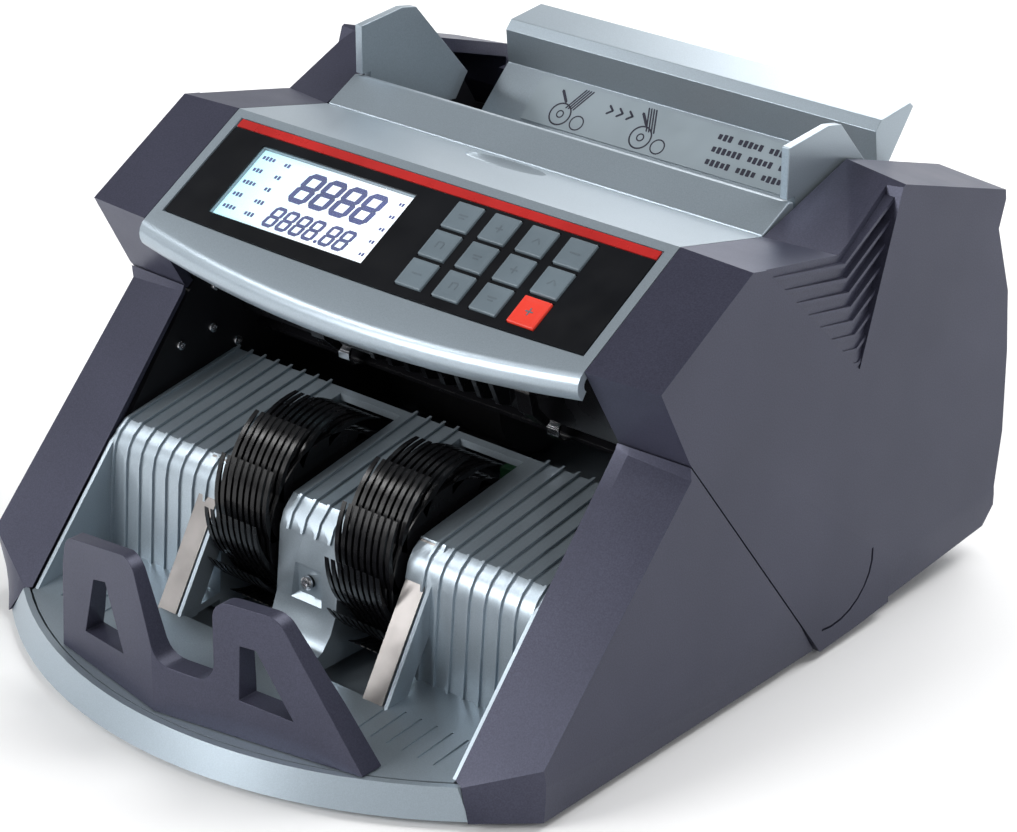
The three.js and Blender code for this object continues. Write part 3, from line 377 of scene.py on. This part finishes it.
def dress(name, width, whole):
    """Gives a carried-over CAD node its finish and rounded edges.

    A `whole` node has no faces with holes, so its flat faces can be merged before they are rounded.
    """
    node = nodes[name]
    slot = next(part["material_slot"] for part in record["subparts"] if part["node"] == name)
    for place in node.material_slots:
        place.material = FINISHES[slot]
    node.modifiers.new("weld", "NODES").node_group = WELDED
    if whole:
        flat = node.modifiers.new("flat", "DECIMATE")
        flat.decimate_type = "DISSOLVE"
        flat.angle_limit = math.radians(MERGED_BELOW)
    if width:
        round_edges(node, width)
    else:
        node.modifiers.new("by_angle", "NODES").node_group = BY_ANGLE


# ---------------------------------------------------------------- building pieces
def put(bm, name, placing, body, slot, material=None, replaces=(), width=0.0):
    """Turns a bmesh in local millimetres into a piece that rides on a body."""
    bmesh.ops.recalc_face_normals(bm, faces=bm.faces)
    for face in bm.faces:
        face.smooth = True
    mesh = bpy.data.meshes.new(name)
    bm.to_mesh(mesh)
    bm.free()
    mesh.transform(placing @ Matrix.Scale(MM, 4))
    mesh.materials.append(material or FINISHES[slot])
    piece = bpy.data.objects.new(name, mesh)
    bpy.context.scene.collection.objects.link(piece)
    if width:
        round_edges(piece, width)
    else:
        piece.modifiers.new("by_angle", "NODES").node_group = BY_ANGLE
    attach(piece, body)
    if replaces:
        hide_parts(*replaces)
    return piece


def prism(bm, outline, base, top):
    """A prism over an (x, y) outline between two heights."""
    rings = [[bm.verts.new((x, y, z)) for x, y in outline] for z in (base, top)]
    count = len(outline)
    bm.faces.new(rings[0][::-1])
    bm.faces.new(rings[1])
    for i in range(count):
        j = (i + 1) % count
        bm.faces.new((rings[0][i], rings[0][j], rings[1][j], rings[1][i]))


def stacked(bm, outlines):
    """A closed solid through (x, y) outlines, each given with its height."""
    rings = [[bm.verts.new((x, y, z)) for x, y in outline] for outline, z in outlines]
    count = len(rings[0])
    bm.faces.new(rings[0][::-1])
    bm.faces.new(rings[-1])
    for below, above in zip(rings, rings[1:]):
        for i in range(count):
            j = (i + 1) % count
            bm.faces.new((below[i], below[j], above[j], above[i]))


def circle_of_points(bm, radius, height, segments):
    """Points round the local Z axis, or the one point on it when the radius is 0."""
    if radius == 0:
        return [bm.verts.new((0, 0, height))]
    turns = [2 * math.pi * i / segments for i in range(segments)]
    return [bm.verts.new((radius * math.cos(turn), radius * math.sin(turn), height)) for turn in turns]


def lathe(bm, profile, segments=48):
    """A turned solid about the local Z axis, from a profile of (radius, height) that ends on the axis."""
    rings = [circle_of_points(bm, radius, height, segments) for radius, height in profile]
    for below, above in zip(rings, rings[1:]):
        for i in range(segments):
            j = (i + 1) % segments
            if len(below) == 1:
                bm.faces.new((below[0], above[j], above[i]))
            elif len(above) == 1:
                bm.faces.new((below[i], below[j], above[0]))
            else:
                bm.faces.new((below[i], below[j], above[j], above[i]))


def lathe_ring(bm, profile, segments=64):
    """A turned ring about the local Z axis, from a closed profile of (radius, height)."""
    rings = [circle_of_points(bm, radius, height, segments) for radius, height in profile]
    for below, above in zip(rings, rings[1:] + rings[:1]):
        for i in range(segments):
            j = (i + 1) % segments
            bm.faces.new((below[i], below[j], above[j], above[i]))


def rounded_rectangle(width, height, radius, steps=4):
    """A rectangle's outline round the origin, with round corners."""
    points = []
    for corner, (sx, sy) in enumerate(((1, 1), (-1, 1), (-1, -1), (1, -1))):
        for i in range(steps + 1):
            turn = math.pi / 2 * (corner + i / steps)
            points.append((
                sx * (width / 2 - radius) + radius * math.cos(turn),
                sy * (height / 2 - radius) + radius * math.sin(turn),
            ))
    return points


def moved(outline, x, y):
    """An outline shifted by (x, y)."""
    return [(u + x, v + y) for u, v in outline]


def along_x(y, z):
    """Places a local frame so that its Z axis is the frame's X axis, through (y, z) in millimetres."""
    turn = Matrix(((0, 0, 1), (1, 0, 0), (0, 1, 0))).to_4x4()
    return Matrix.Translation(Vector((0, y, z)) * MM) @ turn


def facing(centre, normal, up):
    """Places a local frame at a point in millimetres, its Z along a normal and its Y near `up`."""
    z = Vector(normal).normalized()
    x = Vector(up).cross(z).normalized()
    y = z.cross(x)
    turn = Matrix((x, y, z)).transposed().to_4x4()
    return Matrix.Translation(Vector(centre) * MM) @ turn


# ---------------------------------------------------------------- console: screen, keys and marks
PANEL_NORMAL = -Vector(joint("press_1_1")["axis"])
PANEL_UP = Vector((0, PANEL_NORMAL.z, -PANEL_NORMAL.y))
PANEL = facing(middle("lcd_window"), PANEL_NORMAL, PANEL_UP)
PANE_CENTRE_DEPTH = 0.7  # of the pane's middle below the panel's face
SCREEN_DEPTH = 1.6  # of the screen's face below the panel's face
SCREEN_BASE = PANE_CENTRE_DEPTH - SCREEN_DEPTH + 0.01  # of the print on the screen, from the pane's middle
SEGMENTS = (  # both ends of a digit's strokes, in shares of its width and height
    ((0.12, 1.0), (0.88, 1.0)),
    ((0.12, 0.5), (0.88, 0.5)),
    ((0.12, 0.0), (0.88, 0.0)),
    ((0.0, 0.57), (0.0, 0.93)),
    ((0.0, 0.07), (0.0, 0.43)),
    ((1.0, 0.57), (1.0, 0.93)),
    ((1.0, 0.07), (1.0, 0.43)),
)
DIGIT_SLANT = 0.16
PRINT_HEIGHT = 0.07
LARGE_DIGITS = [(-10.5 + 8.9 * i, -0.2) for i in range(4)]  # lower left corners, from the pane's middle
SMALL_DIGITS = [(-12.5 + 5.8 * i + (1.6 if i > 3 else 0), -12.4) for i in range(6)]
LARGE_DIGIT = (6.0, 11.2, 2.1)  # width, height and stroke
SMALL_DIGIT = (3.8, 7.6, 1.35)
DECIMAL_POINT = (10.9, -12.3)
POINT_SIZE = 1.3
MARK_COLUMNS = (-31.4, -21.4, 29.6)
MARK_TOP = 11.8
MARK_PITCH = 5.5
MARK_ROWS = 5


def bar(bm, start, end, thickness, base):
    """A straight stroke with pointed ends."""
    start = Vector(start)
    end = Vector(end)
    along = (end - start).normalized() * thickness / 2
    across = Vector((-along.y, along.x))
    points = [start - along, start + across, end + across, end + along, end - across, start - across]
    prism(bm, [tuple(p) for p in points][::-1], base, base + PRINT_HEIGHT)


def digit(bm, x, y, width, height, stroke, base):
    """A slanted seven-segment eight, with its lower left corner at (x, y)."""
    for (u0, v0), (u1, v1) in SEGMENTS:
        start = (x + u0 * width + v0 * height * DIGIT_SLANT, y + v0 * height)
        end = (x + u1 * width + v1 * height * DIGIT_SLANT, y + v1 * height)
        bar(bm, start, end, stroke, base)


def add_digits():
    """A row of four large digits over a row of six small ones with a decimal point."""
    bm = bmesh.new()
    for x, y in LARGE_DIGITS:
        digit(bm, x, y, *LARGE_DIGIT, SCREEN_BASE)
    for x, y in SMALL_DIGITS:
        digit(bm, x, y, *SMALL_DIGIT, SCREEN_BASE)
    point = moved(rounded_rectangle(POINT_SIZE, POINT_SIZE, 0.5), *DECIMAL_POINT)
    prism(bm, point, SCREEN_BASE, SCREEN_BASE + PRINT_HEIGHT)
    put(bm, "lcd_digits", PANEL, "case", "lcd", FINISHES["segment_blue"])


def letters(bm, x, y, count, size, base, height):
    """A word stood for by small blocks, from x rightwards and centred on y."""
    pitch = size * 0.85
    for i in range(count):
        tall = size * (1.0 if i % 3 else 0.8)
        block = rounded_rectangle(size * 0.6, tall, size * 0.1, 2)
        prism(bm, moved(block, x + i * pitch, y), base, base + height)


def add_screen_marks():
    """Small blocks stand for the words round the digits."""
    left, inner, right = MARK_COLUMNS
    bm = bmesh.new()
    for row in range(MARK_ROWS):
        y = MARK_TOP - row * MARK_PITCH
        letters(bm, left, y, 4 - row % 2, 1.7, SCREEN_BASE, PRINT_HEIGHT)
        letters(bm, inner, y - 0.3, 2 + row // 3, 1.7, SCREEN_BASE, PRINT_HEIGHT)
        letters(bm, right, y - 1.0, 2, 1.4, SCREEN_BASE, PRINT_HEIGHT)
    put(bm, "lcd_marks", PANEL, "case", "lcd", FINISHES["segment_blue"])


KEY_SIZE = (10.6, 10.7)
KEY_FLANGE = (12.0, 12.0)
KEY_FLANGE_THICKNESS = 1.0
KEY_RIM = (  # a cap's inset from its size, corner radius and height, up its side and over its top
    (0, 0.4, -0.25), (0.08, 0.4, -0.1), (0.25, 0.4, 0.0),
    (0.9, 0.3, 0.0), (1.1, 0.3, -0.06), (2.6, 0.3, -0.08),
)
KEY_MARK_BASE = -0.07
KEY_MARK_STROKE = 0.5


def key_top(name):
    """The middle of a key's top face, whose front and back edges touch the key's box."""
    half = KEY_SIZE[1] / 2
    return Vector((middle(name).x, low(name).y + half * PANEL_UP.y, high(name).z - half * PANEL_UP.z))


def key_depth(name):
    """How far a key's flange reaches below its top face."""
    rise = key_top(name).z - low(name).z
    return (rise - KEY_FLANGE[1] / 2 * PANEL_UP.z) / PANEL_NORMAL.z


def key_mark(bm, row, column, base):
    """One of five small signs on a key, made of straight bars."""
    kind = (row * 4 + column) % 5
    stroke = KEY_MARK_STROKE
    if kind == 0:
        bar(bm, (-1.6, 0.6), (1.6, 0.6), stroke, base)
        bar(bm, (-1.0, -0.6), (1.0, -0.6), stroke, base)
    elif kind == 1:
        bar(bm, (-1.3, 0), (1.3, 0), stroke, base)
        bar(bm, (0, -1.3), (0, -0.35), stroke, base)
        bar(bm, (0, 0.35), (0, 1.3), stroke, base)
    elif kind == 2:
        bar(bm, (-1.3, -0.8), (0, 0.9), stroke, base)
        bar(bm, (0.35, 0.8), (1.5, -0.8), stroke, base)
    elif kind == 3:
        bar(bm, (-1.8, 0), (1.8, 0), stroke, base)
    else:
        bar(bm, (-1.2, -1.1), (-1.2, 1.1), stroke, base)
        bar(bm, (-0.6, 1.2), (0.9, 1.2), stroke, base)
        bar(bm, (1.2, 0.9), (1.2, -1.1), stroke, base)


def add_key(row, column):
    """A key's cap with its flange, and the sign printed on it."""
    name = f"key_{row}_{column}"
    body = f"button_{row}_{column}"
    slot = "key_red" if (row, column) == (3, 4) else "key_grey"
    placing = facing(key_top(name), PANEL_NORMAL, PANEL_UP)
    width, height = KEY_SIZE
    bottom = -key_depth(name)
    flange = rounded_rectangle(*KEY_FLANGE, 0.6)
    flange_top = bottom + KEY_FLANGE_THICKNESS
    layers = [(flange, bottom), (flange, flange_top)]
    for edge, radius, z in ((0, KEY_RIM[0][1], flange_top + 0.1), *KEY_RIM):
        layers.append((rounded_rectangle(width - 2 * edge, height - 2 * edge, radius), z))
    bm = bmesh.new()
    stacked(bm, layers)
    put(bm, f"key_cap_{row}_{column}", placing, body, slot, replaces=(name,))
    bm = bmesh.new()
    key_mark(bm, row, column, KEY_MARK_BASE)
    put(bm, f"key_mark_{row}_{column}", placing, body, slot, FINISHES["key_print"])


# ---------------------------------------------------------------- stacker wheels
BORE_RADIUS = 4.4  # of the wheels and tyres, round their shafts
HUB_RADIUS = 9
DISCS = 9
DISC_THICKNESS = 1.6
BLADES = 12
DISC_RADIUS = 28.5
GROOVE_RADIUS = 25.0
BLADE_ROOT = 27.5
BLADE_TIP = 35.6
BLADE_SWEEP = math.radians(44)
BLADE_THICKNESS = 2.8
BLADE_TIP_THICKNESS = 0.25
BLADE_STEPS = 8


def blade_outline(start):
    """A thin pointed blade that trails round the wheel, in the wheel's plane."""
    outer = []
    inner = []
    for i in range(BLADE_STEPS + 1):
        share = i / BLADE_STEPS
        turn = start - BLADE_SWEEP * share
        radius = BLADE_ROOT + (BLADE_TIP - BLADE_ROOT) * share ** 0.8
        thick = BLADE_THICKNESS * (1 - share) + BLADE_TIP_THICKNESS
        outer.append((radius * math.cos(turn), radius * math.sin(turn)))
        radius -= thick
        inner.append((radius * math.cos(turn), radius * math.sin(turn)))
    return outer + inner[::-1]


def add_wheel(side):
    """A fan wheel: nine thin discs on one drum, each with a ring of blades."""
    name = f"stacker_wheel_{side}"
    x0 = low(name).x
    x1 = high(name).x
    anchor = Vector(joint("stacker_spin")["pos_m"]) / MM
    pitch = (x1 - x0 - DISC_THICKNESS) / (DISCS - 1)
    bm = bmesh.new()
    chamfer = 0.3
    profile = [(BORE_RADIUS, x0), (HUB_RADIUS, x0)]
    for k in range(DISCS):
        start = x0 + k * pitch
        end = start + DISC_THICKNESS
        profile += [(DISC_RADIUS - chamfer, start), (DISC_RADIUS, start + chamfer)]
        profile += [(DISC_RADIUS, end - chamfer), (DISC_RADIUS - chamfer, end)]
        if k < DISCS - 1:
            profile += [(GROOVE_RADIUS, end + 0.05), (GROOVE_RADIUS, start + pitch - 0.05)]
    profile += [(HUB_RADIUS, x1), (BORE_RADIUS, x1)]
    lathe_ring(bm, profile, 72)
    for k in range(DISCS):
        base = x0 + k * pitch
        for i in range(BLADES):
            start = 2 * math.pi * i / BLADES
            prism(bm, blade_outline(start), base, base + DISC_THICKNESS)
    placing = along_x(anchor.y, anchor.z)
    put(bm, f"stacker_fan_{side}", placing, "stacker", "black_plastic", replaces=(name,))


# ---------------------------------------------------------------- turned and round pieces
TREAD_PITCH = 2.0


def add_tyre(side):
    """A feed tyre with tread grooves round its rim and chamfered shoulders."""
    name = f"feed_tyre_{side}"
    x0 = low(name).x
    x1 = high(name).x
    centre = middle(name)
    radius = (high(name).z - low(name).z) / 2
    groove = radius - 0.7
    profile = [(BORE_RADIUS, x0), (radius - 1, x0), (radius - 0.2, x0 + 0.8)]
    along = x0 + 1.6
    while along < x1 - 2:
        profile += [(radius, along), (radius, along + 0.9), (groove, along + 1.1), (groove, along + 1.7)]
        along += TREAD_PITCH
    profile += [(radius - 0.2, x1 - 0.8), (radius - 1, x1), (BORE_RADIUS, x1)]
    bm = bmesh.new()
    lathe_ring(bm, profile)
    put(bm, f"feed_tread_{side}", along_x(centre.y, centre.z), "feed", "feed_rubber", replaces=(name,))


def add_foot(name):
    """A rubber foot with a rounded rim and a screw well in its underside."""
    centre = middle(name)
    bottom = low(name).z
    top = high(name).z
    profile = [(0, bottom + 1.4), (2.4, bottom + 1.4), (2.8, bottom + 0.1), (3.4, bottom), (6.9, bottom),
               (7.6, bottom + 0.35), (8, bottom + 1.0), (7.9, top), (0, top)]
    bm = bmesh.new()
    lathe(bm, profile)
    placing = Matrix.Translation(Vector((centre.x, centre.y, 0)) * MM)
    put(bm, f"{name}_pad", placing, "case", "rubber", replaces=(name,))


DESIGN_BACK = 239.7  # the design's Y of the side covers' rearmost point; its zero Z is their foot
PLATE_SCREWS = [(59.9, 73.2), (77.3, 89.5), (75.1, 74.7), (86.7, 66)]  # design (y, z)
BLOCK_SCREW = Vector((0, 22.9, 30))


def design_origin():
    """Where the CAD design's own zero lies, in millimetres."""
    return Vector((0, high("left_side_cover").y - DESIGN_BACK, low("left_side_cover").z))


def add_screw(name, centre, normal, radius=2.6, material="steel"):
    """A pan-head screw with a six-sided socket, standing on a face."""
    bm = bmesh.new()
    profile = [(0, -0.1), (radius, -0.1), (radius, 0.5), (radius * 0.86, 1.0), (radius * 0.5, 1.25),
               (radius * 0.42, 1.2), (radius * 0.36, 0.5), (0, 0.4)]
    lathe(bm, profile, 24)
    placing = facing(centre, normal, (0, 0, 1) if abs(normal[2]) < 0.9 else (0, 1, 0))
    put(bm, name, placing, "case", "steel", FINISHES[material])


def add_screws():
    """Screws in the inner plates, the shroud's middle block, the rear panel and the base."""
    inner = abs(high("left_chassis_plate").x)
    for i, (y, z) in enumerate(PLATE_SCREWS):
        for side, sign in SIDES.items():
            centre = design_origin() + Vector((sign * inner, y, z))
            add_screw(f"plate_screw_{side}_{i + 1}", centre, (-sign, 0, 0), 1.9)
    add_screw("block_screw", design_origin() + BLOCK_SCREW, (0, -1, 0.08), 2.4)
    panel_low = low("rear_panel")
    panel_high = high("rear_panel")
    for i, x in enumerate((panel_low.x + 7, panel_high.x - 7)):
        for j, z in enumerate((panel_low.z + 8, panel_high.z - 8)):
            add_screw(f"rear_screw_{i + 1}_{j + 1}", (x, panel_high.y, z), (0, 1, 0), 2.9, "motor_steel")
    base = low("base_tray").z
    for i, x in enumerate((-60, 0, 60)):
        for j, y in enumerate((-60, 40)):
            add_screw(f"base_screw_{i + 1}_{j + 1}", (x, y, base), (0, 0, -1), 2.6, "motor_steel")


# ---------------------------------------------------------------- hopper label
LABEL_PRINT = 0.05
PICTOGRAMS = ((-52, 4.5), (-16, -3.5))  # x from the label's middle, and how far the notes lean
ARROWS_FROM = -34
WORDS_FROM = 14
WORDS = ((3, 5, 3), (6, 5, 3, 2), (5, 4, 6, 2))  # letters in each word, row by row


def ring(bm, x, y, radius, width, base, segments=28):
    """A printed circle, laid from short pieces."""
    inner = radius - width
    for i in range(segments):
        turn0 = 2 * math.pi * i / segments
        turn1 = 2 * math.pi * (i + 1) / segments
        corners = [
            (x + radius * math.cos(turn0), y + radius * math.sin(turn0)),
            (x + radius * math.cos(turn1), y + radius * math.sin(turn1)),
            (x + inner * math.cos(turn1), y + inner * math.sin(turn1)),
            (x + inner * math.cos(turn0), y + inner * math.sin(turn0)),
        ]
        prism(bm, corners, base, base + LABEL_PRINT)


def note_stack(bm, x, y, lean, base):
    """A few notes standing over a wheel, seen from the side."""
    for i in range(4):
        start = (x + i * 1.1, y)
        end = (x + i * 1.1 + lean, y + 8.5)
        bar(bm, start, end, 0.55, base)
    bar(bm, (x - 1.2, y + 2.2), (x - 4.6, y + 6.0), 1.1, base)


def add_label_print():
    """Two generic feeding pictograms, three arrowheads and small blocks in place of words."""
    lowest = low("hopper_label")
    highest = high("hopper_label")
    slope = Vector((0, highest.y - lowest.y, highest.z - lowest.z)).normalized()
    normal = Vector((0, -slope.z, slope.y))
    centre = middle("hopper_label") + normal * 0.2
    bm = bmesh.new()
    base = 0.01
    for x, lean in PICTOGRAMS:
        ring(bm, x, -3.4, 4.6, 0.6, base)
        ring(bm, x, -3.4, 1.6, 0.5, base, 16)
        ring(bm, x + 8.4, -5.0, 3.0, 0.5, base, 20)
        note_stack(bm, x + 1, -0.6, lean, base)
    for i in range(3):
        x = ARROWS_FROM + i * 4.4
        bar(bm, (x, 1.6), (x + 2, 3.2), 0.8, base)
        bar(bm, (x + 2, 3.2), (x, 4.8), 0.8, base)
    for row, words in enumerate(WORDS):
        x = WORDS_FROM
        for count in words:
            letters(bm, x, 5.0 - row * 5.0, count, 2.5, base, LABEL_PRINT)
            x += count * 2.2 + 2.0
    put(bm, "label_print", facing(centre, normal, slope), "case", "label", FINISHES["print_dark"])


# ---------------------------------------------------------------- note path and rear details
SPRING_FRONT = [(-1.6, 6.0), (-3.4, 4.0), (-3.2, 1.6), (-0.8, -0.8), (2.8, -1.6), (6.6, -0.4)]  # (y, z)
SPRING_THICKNESS = 0.6
SPRING_X = 45.5
SPRING_HALF_WIDTH = 2.4


def add_note_springs():
    """Thin silver leaf tips on the black straps that turn the notes down to the stacker."""
    plate = low("note_guide_plate")
    back = [(y + SPRING_THICKNESS * 0.6, z + SPRING_THICKNESS) for y, z in SPRING_FRONT]
    for side, sign in SIDES.items():
        bm = bmesh.new()
        middle_x = sign * SPRING_X
        prism(bm, SPRING_FRONT + back[::-1], middle_x - SPRING_HALF_WIDTH, middle_x + SPRING_HALF_WIDTH)
        placing = along_x(plate.y + 18.0, plate.z - 5.0)
        put(bm, f"note_spring_{side}", placing, "case", "steel", width=0.15)


GUARD_X = {"left": (-50.7, -42.5), "right": (40.1, 48.2)}
GUARD_FOOT = Vector((0, 4.0, 8.9))  # the foot and the head of a guard's front face, in the design
GUARD_HEAD = Vector((0, 32.9, 56.0))
GUARD_THICKNESS = 0.4


def add_guards():
    """A thin bright steel strip over each of the two sloping guards beside the stacker wheels."""
    foot = design_origin() + GUARD_FOOT
    head = design_origin() + GUARD_HEAD
    along = (head - foot).normalized()
    normal = Vector((0, -along.z, along.y))
    length = (head - foot).length
    for side, (x0, x1) in GUARD_X.items():
        centre = (foot + head) / 2
        centre.x = (x0 + x1) / 2
        bm = bmesh.new()
        prism(bm, rounded_rectangle(x1 - x0, length - 0.6, 0.5), 0.0, GUARD_THICKNESS)
        placing = facing(centre, normal, along)
        put(bm, f"guard_strip_{side}", placing, "case", "steel", FINISHES["guard_steel"], width=0.12)


def add_inlet_pins():
    """Three plated pins in the mouth of the mains inlet."""
    box_high = high("power_inlet")
    centre = middle("power_inlet")
    for i, (dx, dz) in enumerate(((-7, 0), (-1, 3), (5, 0))):
        bm = bmesh.new()
        outline = rounded_rectangle(2.4, 4.4, 0.5)
        tip = rounded_rectangle(1.6, 3.4, 0.5)
        stacked(bm, [(outline, -14), (outline, -0.8), (tip, 0.0)])
        place = (centre.x + 9.5 + dx, box_high.y - 4.4, centre.z + dz)
        put(bm, f"inlet_pin_{i + 1}", facing(place, (0, 1, 0), (0, 0, 1)), "case", "steel")


add_digits()
add_screen_marks()
for key_row in range(1, 4):
    for key_column in range(1, 5):
        add_key(key_row, key_column)
for side_name in SIDES:
    add_wheel(side_name)
    add_tyre(side_name)
for end_name in ("front", "rear"):
    for side_name in SIDES:
        add_foot(f"foot_{end_name}_{side_name}")
add_screws()
add_label_print()
add_note_springs()
add_guards()
add_inlet_pins()

# ---------------------------------------------------------------- carried-over CAD nodes
ROUNDING = {  # millimetres
    "left_arm": 1.2, "right_arm": 1.2, "front_stop": 1.1, "console_housing": 0.6, "hopper_rear_tray": 1.4,
    "hopper_guide_left": 0.7, "hopper_guide_right": 0.7, "hopper_front_plate": 0.5,
    "gap_adjust_knob": 0.4, "base_tray": 0.5, "stacker_shroud": 0.25,
}
DEFAULT_ROUNDING = 0.3
UNROUNDED = {"keypad_overlay", "red_trim_stripe", "hopper_label", "rear_panel"}  # flat sheets
HOLED = {  # nodes with faces that have holes
    "keypad_overlay", "console_housing", "stacker_shroud", "hopper_bed", "rear_panel", "front_stop",
    "base_tray", "left_chassis_plate", "right_chassis_plate", "note_guide_plate", "keypad_board",
}
REPLACED_PAIRS = ("stacker_wheel", "feed_tyre", "foot_front", "foot_rear")

replaced = {f"key_{row}_{column}" for row in range(1, 4) for column in range(1, 5)}
replaced |= {f"{stem}_{side}" for stem in REPLACED_PAIRS for side in SIDES}
for node_name in nodes:
    if node_name not in replaced:
        rounding = 0 if node_name in UNROUNDED else ROUNDING.get(node_name, DEFAULT_ROUNDING)
        dress(node_name, rounding, node_name not in HOLED)
